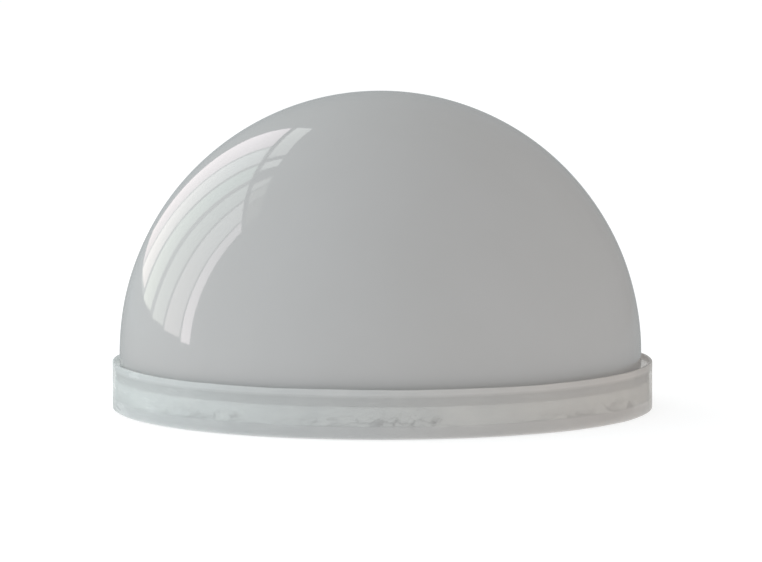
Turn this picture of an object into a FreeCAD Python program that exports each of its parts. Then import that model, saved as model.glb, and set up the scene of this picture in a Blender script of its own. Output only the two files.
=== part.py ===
"""Radar dome antenna: hemispherical radome in a bonded collar, over a welded base with a turning scanner.

Millimetres, +Z up, front along -Y. The origin is the centre of the mounting plane under the four pads.
Each sub-part is written to parts/NODE.step, and the radome pieces lift off the rest along +Z.
"""

import FreeCAD, Part
import math
import os

V = FreeCAD.Vector
UP = V(0, 0, 1)

# ---------------------------------------------------------------- driving dimensions

# Radome: a hemisphere on a short straight skirt, joggled out to a flange and a turned-down lip
dome_od = 464.0
dome_wall = 3.0
skirt_height = 18.0
flange_thickness = 3.0
flange_fillet = 3.0
lip_depth = 19.0

# Collar: a plain hoop bonded round the lip, standing proud of the flange so that a moat is left
collar_wall = 2.5
collar_height = 42.5
collar_lift = 0.5
collar_rise = 11.5
moat_width = 5.5
bond_gap = 1.0
bond_fillet = 3.0
bond_short = 1.5

# Closure between radome and base
closure_screws = 8
closure_thread_r = 2.5
closure_play = 0.1
closure_inset = 5.0
gasket_thickness = 2.5
boss_r = 7.0
boss_height = 15.5
insert_wall = 1.4
insert_length = 12.0
seal_washer = 1.5
seal_washer_r = 5.6

# Base: spun rim, cast floor and plug bay, welded into one pan
floor_z = 10.0
pan_wall = 4.0
land_width = 23.0
pan_clearance = 0.5
rib_z = 4.0
rib_width = 4.0
pedestal_boss_r = 8.0
small_boss_r = 6.0
blind_skin = 0.5

# Mounting pads, with stainless M8 inserts on a 233 x 142 rectangle
mount_spacing_x = 233.0
mount_spacing_y = 142.0
mount_bore_r = 3.4
mount_insert_r = 5.5
mount_depth = 18.0
pad_r = 17.0
pad_top_z = 24.0

# Connector well in the rear of the pan
well_width = 104.0
well_depth = 46.0
well_roof_z = 32.0
well_wall = 3.0
socket_spacing = 52.0
socket_thread_r = 9.0
socket_mouth_z = 16.0
socket_rear_r = 8.0
socket_rear_z = 44.0
socket_flange_r = 11.5
socket_flange_height = 2.5
socket_seal = 1.0
socket_nut = 22.0
socket_nut_height = 4.0
contact_r = 0.7
contact_circle_r = 3.8

# Breather vent and earthing stud in the pan's floor
vent_r = 9.0
vent_thread_r = 5.8
stud_thread_r = 2.5
stud_shank_r = 3.0
stud_end_z = 0.5
stud_collar_z = 5.5

# Spindle and its pair of deep-groove bearings
bearing_od = 47.0
bearing_bore = 25.0
bearing_width = 12.0
bearing_balls = 10
ball_r = 3.3
ball_play = 0.1
cage_half = 1.1
circlip_thickness = 1.5
circlip_groove = 1.0
lower_bearing_z = 34.0
upper_bearing_z = 82.0
pedestal_top_z = 98.0
pedestal_flange_r = 58.0
pedestal_flange_height = 11.0
pedestal_tube_wall = 5.5
pedestal_screw_circle_r = 49.0
spindle_bore_r = 6.5
spindle_flange_r = 33.0
spindle_boss_r = 16.0
gear_screw_circle_r = 24.0

# Spur gear pair
gear_module = 2.0
gear_teeth = 70
pinion_teeth = 14
gear_z = 104.0
gear_width = 10.0
tooth_backlash = 0.25
pressure_deg = 25.0
gear_recess = 3.0
magnet_r = 3.0
magnet_height = 2.0

# Chassis plate and the motor that hangs from it
chassis_z = 90.0
chassis_thickness = 3.0
chassis_x = 260.0
chassis_margin_y = 15.0
motor_side = 56.4
motor_height = 52.0
motor_bell = 8.0
motor_shaft_r = 4.0
motor_pilot_r = 19.0
motor_bolt_pitch = 47.14
motor_rotor_r = 14.0
heading_foot_reach = 12.0

# Transceiver box and control board
transceiver_x = 86.0
transceiver_y = 100.0
transceiver_z = 46.0
transceiver_centre_x = -117.0
transceiver_wall = 3.0
ear_height = 5.0
ear_r = 6.0
lid_thickness = 3.0
fin_count = 9
fin_height = 9.0
fin_half = 1.2
rf_step = 6.0
coax_z = 18.2
coax_r = 1.8
coax_socket_r = 3.2
joint_rod_r = 4.0
board_x = 130.0
board_y = 84.0
board_thickness = 1.6
board_centre_y = -110.0
board_z = 24.0

# Turning radiator
radiator_z = 128.0
radiator_height = 54.0
radiator_front = 13.0
radiator_back = 12.0
radiator_wall = 2.0
cover_wall = 1.5
cover_depth = 9.0
swing_clearance = 8.0
bracket_x = 70.0
bracket_foot_y = 60.0
bracket_thickness = 3.0

# Thread sizes, and how far a cutting tool runs past the face that it opens
m3_r = 1.5
m4_r = 2.0
m5_r = 2.5
past = 1.0

# Fits
press = 0.02
running = 0.15
close_fit = 0.25

# ---------------------------------------------------------------- worked-out places

dome_r = dome_od / 2
dome_inner_r = dome_r - dome_wall
collar_inner_r = dome_r + moat_width
collar_outer_r = collar_inner_r + collar_wall
collar_top_z = collar_lift + collar_height
lip_outer_r = collar_inner_r - bond_gap
lip_inner_r = lip_outer_r - dome_wall
flange_top_z = collar_top_z - collar_rise
flange_under_z = flange_top_z - flange_thickness
lip_bottom_z = flange_top_z - lip_depth
equator_z = flange_top_z + skirt_height

closure_r = dome_inner_r - closure_inset
insert_r = closure_thread_r + closure_play + insert_wall
land_top_z = flange_under_z - gasket_thickness
land_under_z = land_top_z - pan_wall
pan_r = lip_inner_r - pan_clearance
riser_outer_r = pan_r - land_width + pan_wall
riser_inner_r = pan_r - land_width
floor_top_z = floor_z + pan_wall

pads = [(sx * mount_spacing_x / 2, sy * mount_spacing_y / 2) for sx in (-1, 1) for sy in (-1, 1)]
well_outer_x = well_width / 2 + well_wall
well_outer_y = math.sqrt((riser_inner_r - 6.0) ** 2 - well_outer_x ** 2)
well_far_y = well_outer_y - well_wall
well_near_y = well_far_y - well_depth
well_y = (well_near_y + well_far_y) / 2
bay_y = well_near_y - well_wall
well_top_z = well_roof_z + well_wall
sockets = {"power": (socket_spacing / 2, well_y), "network": (-socket_spacing / 2, well_y)}
vent_at = (100.0, 115.0)
stud_at = (-100.0, 115.0)

bearing_outer_r = bearing_od / 2
bearing_inner_r = bearing_bore / 2
ball_circle_r = (bearing_outer_r + bearing_inner_r) / 2
pedestal_tube_r = bearing_outer_r + pedestal_tube_wall
pedestal_flange_top_z = floor_top_z + pedestal_flange_height
spacer_r = bearing_inner_r + 2.5
shoulder_z = upper_bearing_z + bearing_width
spindle_flange_z = gear_z - 5.0

gear_r = gear_module * gear_teeth / 2
pinion_r = gear_module * pinion_teeth / 2
gear_top_z = gear_z + gear_width
motor_at = (gear_r + pinion_r, 0.0)
heading_at = (0.0, gear_r - 7.0)
chassis_y = 2 * (gear_r + chassis_margin_y)
chassis_top_z = chassis_z + chassis_thickness
motor_base_z = chassis_z - motor_height

transceiver_top_z = floor_top_z + transceiver_z
transceiver_face_x = transceiver_centre_x + transceiver_x / 2
board_top_z = board_z + board_thickness
board_edge_y = board_centre_y + board_y / 2

bracket_z = gear_top_z
spindle_top_z = bracket_z + bracket_thickness + 1.0
radiator_top_z = radiator_z + radiator_height
swing_r = math.sqrt(dome_inner_r ** 2 - (radiator_top_z - equator_z) ** 2) - swing_clearance
radiator_x = 2 * math.sqrt(swing_r ** 2 - max(radiator_front, radiator_back) ** 2)
cap_wall = 3.0
cover_y = -radiator_front + cover_depth


# ---------------------------------------------------------------- shape helpers


def outline(points):
    """Closed wire in the XZ plane. A plain (x, z) is a line to it, and a pair is an arc (through, to)."""
    edges = []
    here = V(points[0][0], 0, points[0][1])
    for item in points[1:] + points[:1]:
        if isinstance(item[0], tuple):
            (via_x, via_z), (to_x, to_z) = item
            there = V(to_x, 0, to_z)
            edges.append(Part.Arc(here, V(via_x, 0, via_z), there).toShape())
        else:
            there = V(item[0], 0, item[1])
            edges.append(Part.LineSegment(here, there).toShape())
        here = there
    return Part.Wire(edges)


def lathe(points, at=(0.0, 0.0)):
    """Solid of revolution about the vertical through at."""
    solid = Part.Face(outline(points)).revolve(V(0, 0, 0), UP, 360)
    solid.translate(V(at[0], at[1], 0))
    return solid


def rod(z0, z1, r, at=(0.0, 0.0)):
    return Part.makeCylinder(r, z1 - z0, V(at[0], at[1], z0), UP)


def ring(z0, z1, r_out, r_in, at=(0.0, 0.0)):
    return rod(z0, z1, r_out, at).cut(rod(z0 - past, z1 + past, r_in, at))


def box(x0, x1, y0, y1, z0, z1):
    return Part.makeBox(x1 - x0, y1 - y0, z1 - z0, V(x0, y0, z0))


def slab(size_x, size_y, z0, z1, corner, at=(0.0, 0.0)):
    """Upright plate with rounded vertical corners."""
    solid = box(at[0] - size_x / 2, at[0] + size_x / 2, at[1] - size_y / 2, at[1] + size_y / 2, z0, z1)
    upright = [e for e in solid.Edges if abs(e.Vertexes[0].Z - e.Vertexes[1].Z) > 1e-6]
    return solid.makeFillet(corner, upright)


def hexagon(z0, z1, across_flats, at=(0.0, 0.0), turn=0.0):
    radius = across_flats / math.sqrt(3)
    corners = [turn + math.radians(60 * i) for i in range(7)]
    points = [V(at[0] + radius * math.cos(a), at[1] + radius * math.sin(a), z0) for a in corners]
    return Part.Face(Part.makePolygon(points)).extrude(V(0, 0, z1 - z0))


def on_circle(count, radius, start_deg=0.0):
    angles = [math.radians(start_deg + 360.0 * i / count) for i in range(count)]
    return [(radius * math.cos(a), radius * math.sin(a)) for a in angles]


def fused(shapes):
    """One solid out of shapes that meet."""
    return shapes[0].multiFuse(shapes[1:]).removeSplitter()


def drilled(solid, tools):
    return solid.cut(tools)


def cap_screw(at, seat_z, thread_r, length, up=True):
    """Socket-head screw seated at seat_z. up puts the head above the seat and the shank below it."""
    head_r = 1.75 * thread_r
    head_h = 2.0 * thread_r
    screw = fused([rod(0, head_h, head_r), rod(-length, 0, thread_r)])
    screw = screw.cut(hexagon(0.45 * head_h, head_h + past, 1.6 * thread_r))
    top = [e for e in screw.Edges if abs(e.BoundBox.ZMax - head_h) < 1e-6]
    rim = [e for e in top if abs(e.Length - 2 * math.pi * head_r) < 0.1]
    screw = screw.makeChamfer(0.25 * thread_r, rim)
    if not up:
        screw.rotate(V(0, 0, 0), V(1, 0, 0), 180)
    screw.translate(V(at[0], at[1], seat_z))
    return screw


def bent_tube(points, radius):
    """Round bar along straight runs that are joined by tangent arcs as large as the runs allow."""
    stations = [V(*p) for p in points]
    edges = []
    here = stations[0]
    for before, corner, after in zip(stations, stations[1:], stations[2:]):
        way_in = (corner - before).normalize()
        way_out = (after - corner).normalize()
        turn = way_in.getAngle(way_out)
        reach = 0.45 * min((corner - before).Length, (after - corner).Length)
        start = corner - way_in * reach
        end = corner + way_out * reach
        sagitta = reach * math.cos(turn / 2) * math.tan(turn / 4)
        middle = (start + end) / 2
        edges.append(Part.LineSegment(here, start).toShape())
        edges.append(Part.Arc(start, middle + (corner - middle).normalize() * sagitta, end).toShape())
        here = end
    edges.append(Part.LineSegment(here, stations[-1]).toShape())
    first = (stations[1] - stations[0]).normalize()
    section = Part.Wire(Part.makeCircle(radius, stations[0], first))
    return Part.Wire(edges).makePipeShell([section], True, False)


def spur_gear(teeth, z0, z1, phase):
    """Toothed blank with straight steps along each involute flank. phase turns a tooth's middle off +X."""
    pitch_r = gear_module * teeth / 2
    pressure = math.radians(pressure_deg)
    base_r = pitch_r * math.cos(pressure)
    tip_r = pitch_r + 0.9 * gear_module
    root_r = pitch_r - 1.15 * gear_module
    at_pitch = math.pi / (2 * teeth) - tooth_backlash / (4 * pitch_r)

    def half_angle(r):
        slope = math.acos(min(1.0, base_r / r))
        return at_pitch + math.tan(pressure) - pressure - math.tan(slope) + slope

    low_r = max(base_r, root_r)
    flank = [low_r + (tip_r - low_r) * i / 4 for i in range(5)]
    points = []
    for tooth in range(teeth):
        middle = phase + 2 * math.pi * tooth / teeth
        rising = [(root_r, half_angle(low_r))] + [(r, half_angle(r)) for r in flank]
        for r, half in rising:
            points.append(V(r * math.cos(middle - half), r * math.sin(middle - half), z0))
        for r, half in reversed(rising):
            points.append(V(r * math.cos(middle + half), r * math.sin(middle + half), z0))
    points.append(points[0])
    return Part.Face(Part.makePolygon(points)).extrude(V(0, 0, z1 - z0))


# ---------------------------------------------------------------- radome


def closure_seats():
    return on_circle(closure_screws, closure_r, 180.0 / closure_screws)


def radome_dome():
    """Moulded shell: hemisphere, skirt, flange and lip in one wall, with a blind boss for each screw."""
    half = math.sqrt(0.5)
    bend = flange_fillet * (1 - half)
    shell = lathe([
        (lip_outer_r, lip_bottom_z),
        (lip_outer_r, flange_top_z),
        (dome_r + flange_fillet, flange_top_z),
        ((dome_r + bend, flange_top_z + bend), (dome_r, flange_top_z + flange_fillet)),
        (dome_r, equator_z),
        ((dome_r * half, equator_z + dome_r * half), (0.0, equator_z + dome_r)),
        (0.0, equator_z + dome_inner_r),
        ((dome_inner_r * half, equator_z + dome_inner_r * half), (dome_inner_r, equator_z)),
        (dome_inner_r, flange_under_z),
        (lip_inner_r, flange_under_z),
        (lip_inner_r, lip_bottom_z),
    ])
    bosses = [rod(flange_under_z, flange_under_z + boss_height, boss_r, at) for at in closure_seats()]
    well_end_z = flange_under_z + insert_length + blind_skin
    wells = [rod(flange_under_z - past, well_end_z, insert_r + press, at) for at in closure_seats()]
    return drilled(fused([shell] + bosses), wells)


def radome_inserts():
    """Brass threaded inserts, flush with the boss faces."""
    top_z = flange_under_z + insert_length
    bore_r = closure_thread_r + closure_play
    return [ring(flange_under_z, top_z, insert_r, bore_r, at) for at in closure_seats()]


def collar_band():
    """Plain extruded hoop with its two rims eased."""
    ease = 0.3 * collar_wall
    return lathe([
        (collar_inner_r, collar_lift + ease),
        (collar_inner_r + ease, collar_lift),
        (collar_outer_r - ease, collar_lift),
        (collar_outer_r, collar_lift + ease),
        (collar_outer_r, collar_top_z - ease),
        (collar_outer_r - ease, collar_top_z),
        (collar_inner_r + ease, collar_top_z),
        (collar_inner_r, collar_top_z - ease),
    ])


def collar_bond():
    """Adhesive between lip and collar, squeezed out into a fillet under the lip."""
    swell_r = collar_inner_r - bond_fillet * (1 - math.sqrt(0.5))
    swell_z = lip_bottom_z - bond_fillet * (1 - math.sqrt(0.5))
    return lathe([
        (lip_outer_r + press, flange_top_z - bond_short),
        (lip_outer_r + press, lip_bottom_z - press),
        (collar_inner_r - bond_fillet, lip_bottom_z - press),
        ((swell_r, swell_z), (collar_inner_r - press, lip_bottom_z - bond_fillet)),
        (collar_inner_r - press, flange_top_z - bond_short),
    ])


# ---------------------------------------------------------------- base and closure


def base_rim():
    """Spun rim: riser and sealing land in one, welded round the floor and the plug bay."""
    rim = lathe([
        (riser_inner_r, floor_z),
        (riser_outer_r - 2.0, floor_z),
        (riser_outer_r, floor_z + 2.0),
        (riser_outer_r, land_under_z),
        (pan_r, land_under_z),
        (pan_r, land_top_z),
        (riser_inner_r, land_top_z),
    ])
    hole_r = closure_thread_r + 0.4
    return drilled(rim, [rod(land_under_z - past, land_top_z + past, hole_r, at) for at in closure_seats()])


def base_floor():
    """Cast floor with mounting pads, ribs and screw bosses. Its rear is cut straight for the plug bay."""
    floor = rod(floor_z, floor_top_z, riser_inner_r)
    floor = floor.cut(box(-pan_r, pan_r, bay_y, pan_r, 0, floor_top_z + past))
    adds = [rod(0.0, pad_top_z, pad_r, at) for at in pads]
    half_rib = rib_width / 2
    px = mount_spacing_x / 2
    py = mount_spacing_y / 2
    for side in (-1, 1):
        adds.append(box(-px, px, side * py - half_rib, side * py + half_rib, rib_z, floor_z + past))
        adds.append(box(side * px - half_rib, side * px + half_rib, -py, py, rib_z, floor_z + past))
    for at in pads:
        spoke = box(0, riser_inner_r - 1.0, -half_rib, half_rib, rib_z, floor_z + past)
        spoke.rotate(V(0, 0, 0), UP, math.degrees(math.atan2(at[1], at[0])))
        adds.append(spoke)
    pedestal_holes = pedestal_seats()
    ear_holes = transceiver_ears()
    standoff_holes = board_holes()
    adds += [rod(rib_z - 1.0, floor_z + past, pedestal_boss_r, at) for at in pedestal_holes]
    adds += [rod(rib_z, floor_z + past, small_boss_r, at) for at in ear_holes + standoff_holes]
    floor = fused([floor] + adds)
    drill_top_z = floor_top_z + past
    cuts = [rod(-past, mount_depth, mount_insert_r + press, at) for at in pads]
    cuts += [rod(mount_depth + 1.0, pad_top_z + past, m5_r + press, at) for at in pads]
    cuts += [rod(rib_z + blind_skin, drill_top_z, m5_r + press, at) for at in pedestal_holes]
    cuts += [rod(rib_z + 3 * blind_skin, drill_top_z, m4_r + press, at) for at in ear_holes]
    cuts += [rod(rib_z + 3 * blind_skin, drill_top_z, m3_r + press, at) for at in standoff_holes]
    cuts.append(rod(0, drill_top_z, vent_thread_r + 0.2, vent_at))
    cuts.append(rod(0, drill_top_z, stud_shank_r + close_fit, stud_at))
    return drilled(floor, cuts)


def plug_bay():
    """Cast rear segment of the floor with the well that the two sockets sit in."""
    segment = rod(floor_z, floor_top_z, riser_inner_r)
    segment = segment.cut(box(-pan_r, pan_r, -pan_r, bay_y, 0, floor_top_z + past))
    walls = box(-well_outer_x, well_outer_x, bay_y, well_outer_y, floor_z, well_top_z)
    cuts = [box(-well_width / 2, well_width / 2, well_near_y, well_far_y, -past, well_roof_z)]
    cuts += [rod(0, well_top_z + past, socket_rear_r + running, at) for at in sockets.values()]
    return drilled(fused([segment, walls]), cuts)


def base_gasket():
    """Flat rubber ring between the pan's land and the radome's flange."""
    gasket = ring(land_top_z, flange_under_z, pan_r - 0.5, riser_inner_r + 3.0)
    hole_r = closure_thread_r + 0.5
    holes = [rod(land_top_z - past, flange_under_z + past, hole_r, at) for at in closure_seats()]
    return drilled(gasket, holes)


def radome_screws():
    """Captive screws from below, through seal and land into the radome's inserts."""
    seat_z = land_under_z - seal_washer
    reach = flange_under_z + insert_length - 1.0 - seat_z
    return [cap_screw(at, seat_z, closure_thread_r, reach, up=False) for at in closure_seats()]


def screw_seals():
    """Bonded sealing washers under the captive screws."""
    low_z = land_under_z - seal_washer
    bore_r = closure_thread_r + press
    return [ring(low_z, land_under_z, seal_washer_r, bore_r, at) for at in closure_seats()]


def mount_inserts():
    """Stainless M8 inserts, flush with the pads."""
    return [ring(0.0, mount_depth, mount_insert_r, mount_bore_r, at) for at in pads]


def breather_vent():
    """Membrane breather with its nut inside."""
    plug = lathe([
        (0.0, 4.0),
        (vent_r - 1.5, 4.0),
        (vent_r, 5.5),
        (vent_r, floor_z),
        (vent_thread_r, floor_z),
        (vent_thread_r, floor_top_z + 6.0),
        (0.0, floor_top_z + 6.0),
    ], vent_at)
    slots = [rod(3.0, 6.0, 0.9, (vent_at[0] + x, vent_at[1] + y)) for x, y in on_circle(6, 4.5)]
    nut = hexagon(floor_top_z, floor_top_z + 4.0, 2 * vent_r, vent_at)
    bore = rod(floor_top_z - past, floor_top_z + 4.0 + past, vent_thread_r + press, vent_at)
    return [drilled(plug, slots), nut.cut(bore)]


def bulkhead_socket(name, contacts):
    """Round panel socket facing down in the well: threaded mouth, flange, rear shell and contact pins."""
    at = sockets[name]
    flange_z = well_roof_z - socket_seal
    face_z = socket_mouth_z + 10.0
    shell = lathe([
        (0.0, face_z),
        (socket_thread_r - 2.0, face_z),
        (socket_thread_r - 2.0, socket_mouth_z),
        (socket_thread_r, socket_mouth_z),
        (socket_thread_r, flange_z - socket_flange_height),
        (socket_flange_r, flange_z - socket_flange_height),
        (socket_flange_r, flange_z),
        (socket_rear_r, flange_z),
        (socket_rear_r, socket_rear_z),
        (0.0, socket_rear_z),
    ], at)
    spots = [(at[0] + x, at[1] + y) for x, y in on_circle(contacts, contact_circle_r, 20.0)]
    pins = [rod(socket_mouth_z + 1.5, face_z, contact_r, spot) for spot in spots]
    return [shell] + pins


def socket_nuts():
    nuts = []
    for at in sockets.values():
        nut = hexagon(well_top_z, well_top_z + socket_nut_height, socket_nut, at)
        nuts.append(nut.cut(rod(well_top_z - past, socket_rear_z, socket_rear_r + press, at)))
    return nuts


def socket_seals():
    low_z = well_roof_z - socket_seal
    outer_r = socket_flange_r - 0.5
    return [ring(low_z, well_roof_z, outer_r, socket_rear_r + press, at) for at in sockets.values()]


def ground_stud():
    """Earthing stud: bare thread and hexagon collar under the floor, with a nut on its shank inside."""
    nut_z = floor_top_z + 4.5
    thread = rod(stud_end_z, stud_collar_z + past, stud_thread_r, stud_at)
    collar = hexagon(stud_collar_z, floor_z, 10.0, stud_at)
    shank = rod(floor_z - past, nut_z + 1.5, stud_shank_r, stud_at)
    nut = hexagon(floor_top_z, nut_z, 10.0, stud_at)
    bore = rod(floor_z, nut_z + past, stud_shank_r + press, stud_at)
    return [fused([thread, collar, shank]), nut.cut(bore)]


# ---------------------------------------------------------------- pedestal and bearings


def pedestal_seats():
    return on_circle(4, pedestal_screw_circle_r, 45.0)


def pedestal():
    """Cast bearing tower with three webs and a slot in its foot for the coaxial line."""
    waist_r = bearing_outer_r - 2.5
    lower_top_z = lower_bearing_z + bearing_width
    flange_z = pedestal_flange_top_z
    root = 4.0
    bend = root * (1 - math.sqrt(0.5))
    tower = lathe([
        (bearing_outer_r + press, floor_top_z),
        (pedestal_flange_r, floor_top_z),
        (pedestal_flange_r, flange_z - 1.5),
        (pedestal_flange_r - 1.5, flange_z),
        (pedestal_tube_r + root, flange_z),
        ((pedestal_tube_r + bend, flange_z + bend), (pedestal_tube_r, flange_z + root)),
        (pedestal_tube_r, pedestal_top_z),
        (bearing_outer_r + press, pedestal_top_z),
        (bearing_outer_r + press, shoulder_z + circlip_thickness + 0.1),
        (bearing_outer_r + circlip_groove + 0.1, shoulder_z + circlip_thickness + 0.1),
        (bearing_outer_r + circlip_groove + 0.1, shoulder_z),
        (bearing_outer_r + press, shoulder_z),
        (bearing_outer_r + press, upper_bearing_z),
        (waist_r, upper_bearing_z),
        (waist_r, lower_top_z),
        (bearing_outer_r + press, lower_top_z),
    ])
    webs = []
    for angle in (0.0, 90.0, 270.0):
        web = Part.Face(outline([
            (pedestal_tube_r - 2.0, pedestal_flange_top_z - 2.0),
            (pedestal_flange_r - 4.0, pedestal_flange_top_z - 2.0),
            (pedestal_flange_r - 4.0, pedestal_flange_top_z + 3.0),
            (pedestal_tube_r - 2.0, pedestal_top_z - 28.0),
        ])).extrude(V(0, 5.0, 0))
        web.translate(V(0, -2.5, 0))
        web.rotate(V(0, 0, 0), UP, angle)
        webs.append(web)
    low_z = floor_top_z - past
    cuts = [rod(low_z, pedestal_flange_top_z + past, m5_r + close_fit, at) for at in pedestal_seats()]
    cuts.append(box(-pedestal_flange_r - past, -15.0, -5.5, 5.5, low_z, coax_z + 4.3))
    return drilled(fused([tower] + webs), cuts)


def pedestal_screws():
    reach = pedestal_flange_top_z - rib_z - 3 * blind_skin
    return [cap_screw(at, pedestal_flange_top_z, m5_r, reach) for at in pedestal_seats()]


def bearing_outer(z):
    """Outer ring with its raceway groove."""
    middle = z + bearing_width / 2
    land_r = ball_circle_r + 0.64 * ball_r
    race = Part.makeTorus(ball_circle_r, ball_r + ball_play, V(0, 0, middle), UP)
    return ring(z, z + bearing_width, bearing_outer_r, land_r).cut(race)


def bearing_inner(z):
    """Inner ring with its raceway groove."""
    middle = z + bearing_width / 2
    land_r = ball_circle_r - 0.64 * ball_r
    race = Part.makeTorus(ball_circle_r, ball_r + ball_play, V(0, 0, middle), UP)
    return ring(z, z + bearing_width, land_r, bearing_inner_r + press).cut(race)


def bearing_ball_set(z):
    """Balls with the pocketed cage that spaces them."""
    middle = z + bearing_width / 2
    spots = [V(x, y, middle) for x, y in on_circle(bearing_balls, ball_circle_r, 90.0 / bearing_balls)]
    half_height = ball_r + 1.0
    cage_out_r = ball_circle_r + cage_half
    cage = ring(middle - half_height, middle + half_height, cage_out_r, ball_circle_r - cage_half)
    pockets = []
    for spot in spots:
        outward = V(spot.x, spot.y, 0)
        start = outward * 0.75 + V(0, 0, middle)
        pockets.append(Part.makeCylinder(ball_r + ball_play, 2 * ball_r, start, outward))
    return [Part.makeSphere(ball_r, spot) for spot in spots] + [drilled(cage, pockets)]


def bearing_circlip():
    """Split retaining ring over the upper bearing."""
    top_z = shoulder_z + circlip_thickness
    clip = ring(shoulder_z, top_z, bearing_outer_r + circlip_groove, bearing_outer_r - 2.6)
    gap = box(0, bearing_outer_r + 2, -5.0, 5.0, shoulder_z - past, top_z + past)
    gap.rotate(V(0, 0, 0), UP, 135)
    return clip.cut(gap)


# ---------------------------------------------------------------- chassis plate and motor


def chassis_posts():
    """Hexagonal posts screwed into the pad tops."""
    posts = []
    for at in pads:
        tail = rod(pad_top_z - 4.5, pad_top_z + past, m5_r, at)
        post = fused([hexagon(pad_top_z, chassis_z, 11.0, at), tail])
        posts.append(post.cut(rod(chassis_z - 14, chassis_z + past, m4_r + press, at)))
    return posts


def heading_holes():
    return [(heading_at[0] + dx, heading_at[1] + heading_foot_reach) for dx in (-4.0, 4.0)]


def motor_bolts():
    half = motor_bolt_pitch / 2
    return [(motor_at[0] + sx * half, motor_at[1] + sy * half) for sx in (-1, 1) for sy in (-1, 1)]


def chassis_plate():
    """Aluminium plate on the posts, with holes for the pedestal and the motor's pilot, and two windows."""
    plate = slab(chassis_x, chassis_y, chassis_z, chassis_top_z, 14.0)
    low = chassis_z - past
    high = chassis_top_z + past
    cuts = [rod(low, high, pedestal_tube_r + 4.0), rod(low, high, motor_pilot_r + running, motor_at)]
    cuts += [rod(low, high, m4_r + close_fit, at) for at in pads]
    cuts += [rod(low, high, m5_r + close_fit, at) for at in motor_bolts()]
    cuts += [slab(44.0, 96.0, low, high, 8.0, (-80.0, 0.0))]
    cuts += [slab(70.0, 22.0, low, high, 8.0, (0.0, -62.0))]
    cuts += [rod(low, high, m3_r + press, at) for at in heading_holes()]
    return drilled(plate, cuts)


def chassis_screws():
    return [cap_screw(at, chassis_top_z, m4_r, 14.0) for at in pads]


def motor_body(z0, z1):
    """Square section with clipped corners, centred on the motor axis."""
    half = motor_side / 2
    body = box(motor_at[0] - half, motor_at[0] + half, -half, half, z0, z1)
    upright = [e for e in body.Edges if abs(e.Vertexes[0].Z - e.Vertexes[1].Z) > 1e-6]
    return body.makeChamfer(4.5, upright)


def motor_stator():
    """Laminated stack between the two end bells."""
    stack = motor_body(motor_base_z + motor_bell, chassis_z - motor_bell)
    return stack.cut(rod(motor_base_z, chassis_z, motor_rotor_r + 0.3, motor_at))


def motor_end_bells():
    """Cast end bells: the upper with pilot and tapped corners, the lower closed round the shaft's tail."""
    lower = motor_body(motor_base_z, motor_base_z + motor_bell)
    lower = lower.cut(rod(motor_base_z + 2, chassis_z, motor_shaft_r + running, motor_at))
    upper = motor_body(chassis_z - motor_bell, chassis_z)
    upper = fused([upper, rod(chassis_z - 1, chassis_z + 1.6, motor_pilot_r, motor_at)])
    holes = [rod(chassis_z - motor_bell - 1, chassis_z + 3, motor_shaft_r + running, motor_at)]
    holes += [rod(chassis_z - 7, chassis_z + past, m5_r + press, at) for at in motor_bolts()]
    return [lower, drilled(upper, holes)]


def motor_screws():
    return [cap_screw(at, chassis_top_z, m5_r, chassis_thickness + 6.5) for at in motor_bolts()]


def motor_shaft():
    """Shaft with the magnet rotor on it."""
    shaft = rod(motor_base_z + 2.5, gear_top_z + 2.0, motor_shaft_r, motor_at)
    core = rod(motor_base_z + motor_bell + 3, chassis_z - motor_bell - 3, motor_rotor_r, motor_at)
    return fused([shaft, core])


def drive_pinion():
    """Steel pinion with a plain hub below its teeth. A tooth space faces the gear."""
    hub_z = gear_z - 7.0
    phase = math.pi + math.pi / pinion_teeth
    teeth = spur_gear(pinion_teeth, gear_z - 1.0, gear_top_z + 1.0, phase)
    teeth.translate(V(motor_at[0], motor_at[1], 0))
    pinion = fused([teeth, rod(hub_z, gear_z, pinion_r - 4.0, motor_at)])
    return pinion.cut(rod(hub_z - 1, gear_top_z + 2, motor_shaft_r + press, motor_at))


def heading_sensor():
    """Hall sensor block on a foot, under the gear's rim where the magnet passes."""
    x, y = heading_at
    body = box(x - 5, x + 5, y - 5, y + 6, chassis_top_z, gear_z - 3.5)
    foot_top_z = chassis_top_z + 2.0
    foot = box(x - 7, x + 7, y + 5, y + heading_foot_reach + 3, chassis_top_z, foot_top_z)
    foot = foot.cut([rod(chassis_z, foot_top_z + past, m3_r + 0.2, at) for at in heading_holes()])
    screws = [cap_screw(at, foot_top_z, m3_r, 4.5) for at in heading_holes()]
    return [fused([body, foot])] + screws


# ---------------------------------------------------------------- transceiver and control board


def transceiver_ears():
    reach_y = transceiver_y / 2 + 6.0
    return [(transceiver_centre_x + sx * 32.0, sy * reach_y) for sx in (-1, 1) for sy in (-1, 1)]


def transceiver_corners():
    dx = transceiver_x / 2 - 6.0
    dy = transceiver_y / 2 - 6.0
    return [(transceiver_centre_x + sx * dx, sy * dy) for sx in (-1, 1) for sy in (-1, 1)]


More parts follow.
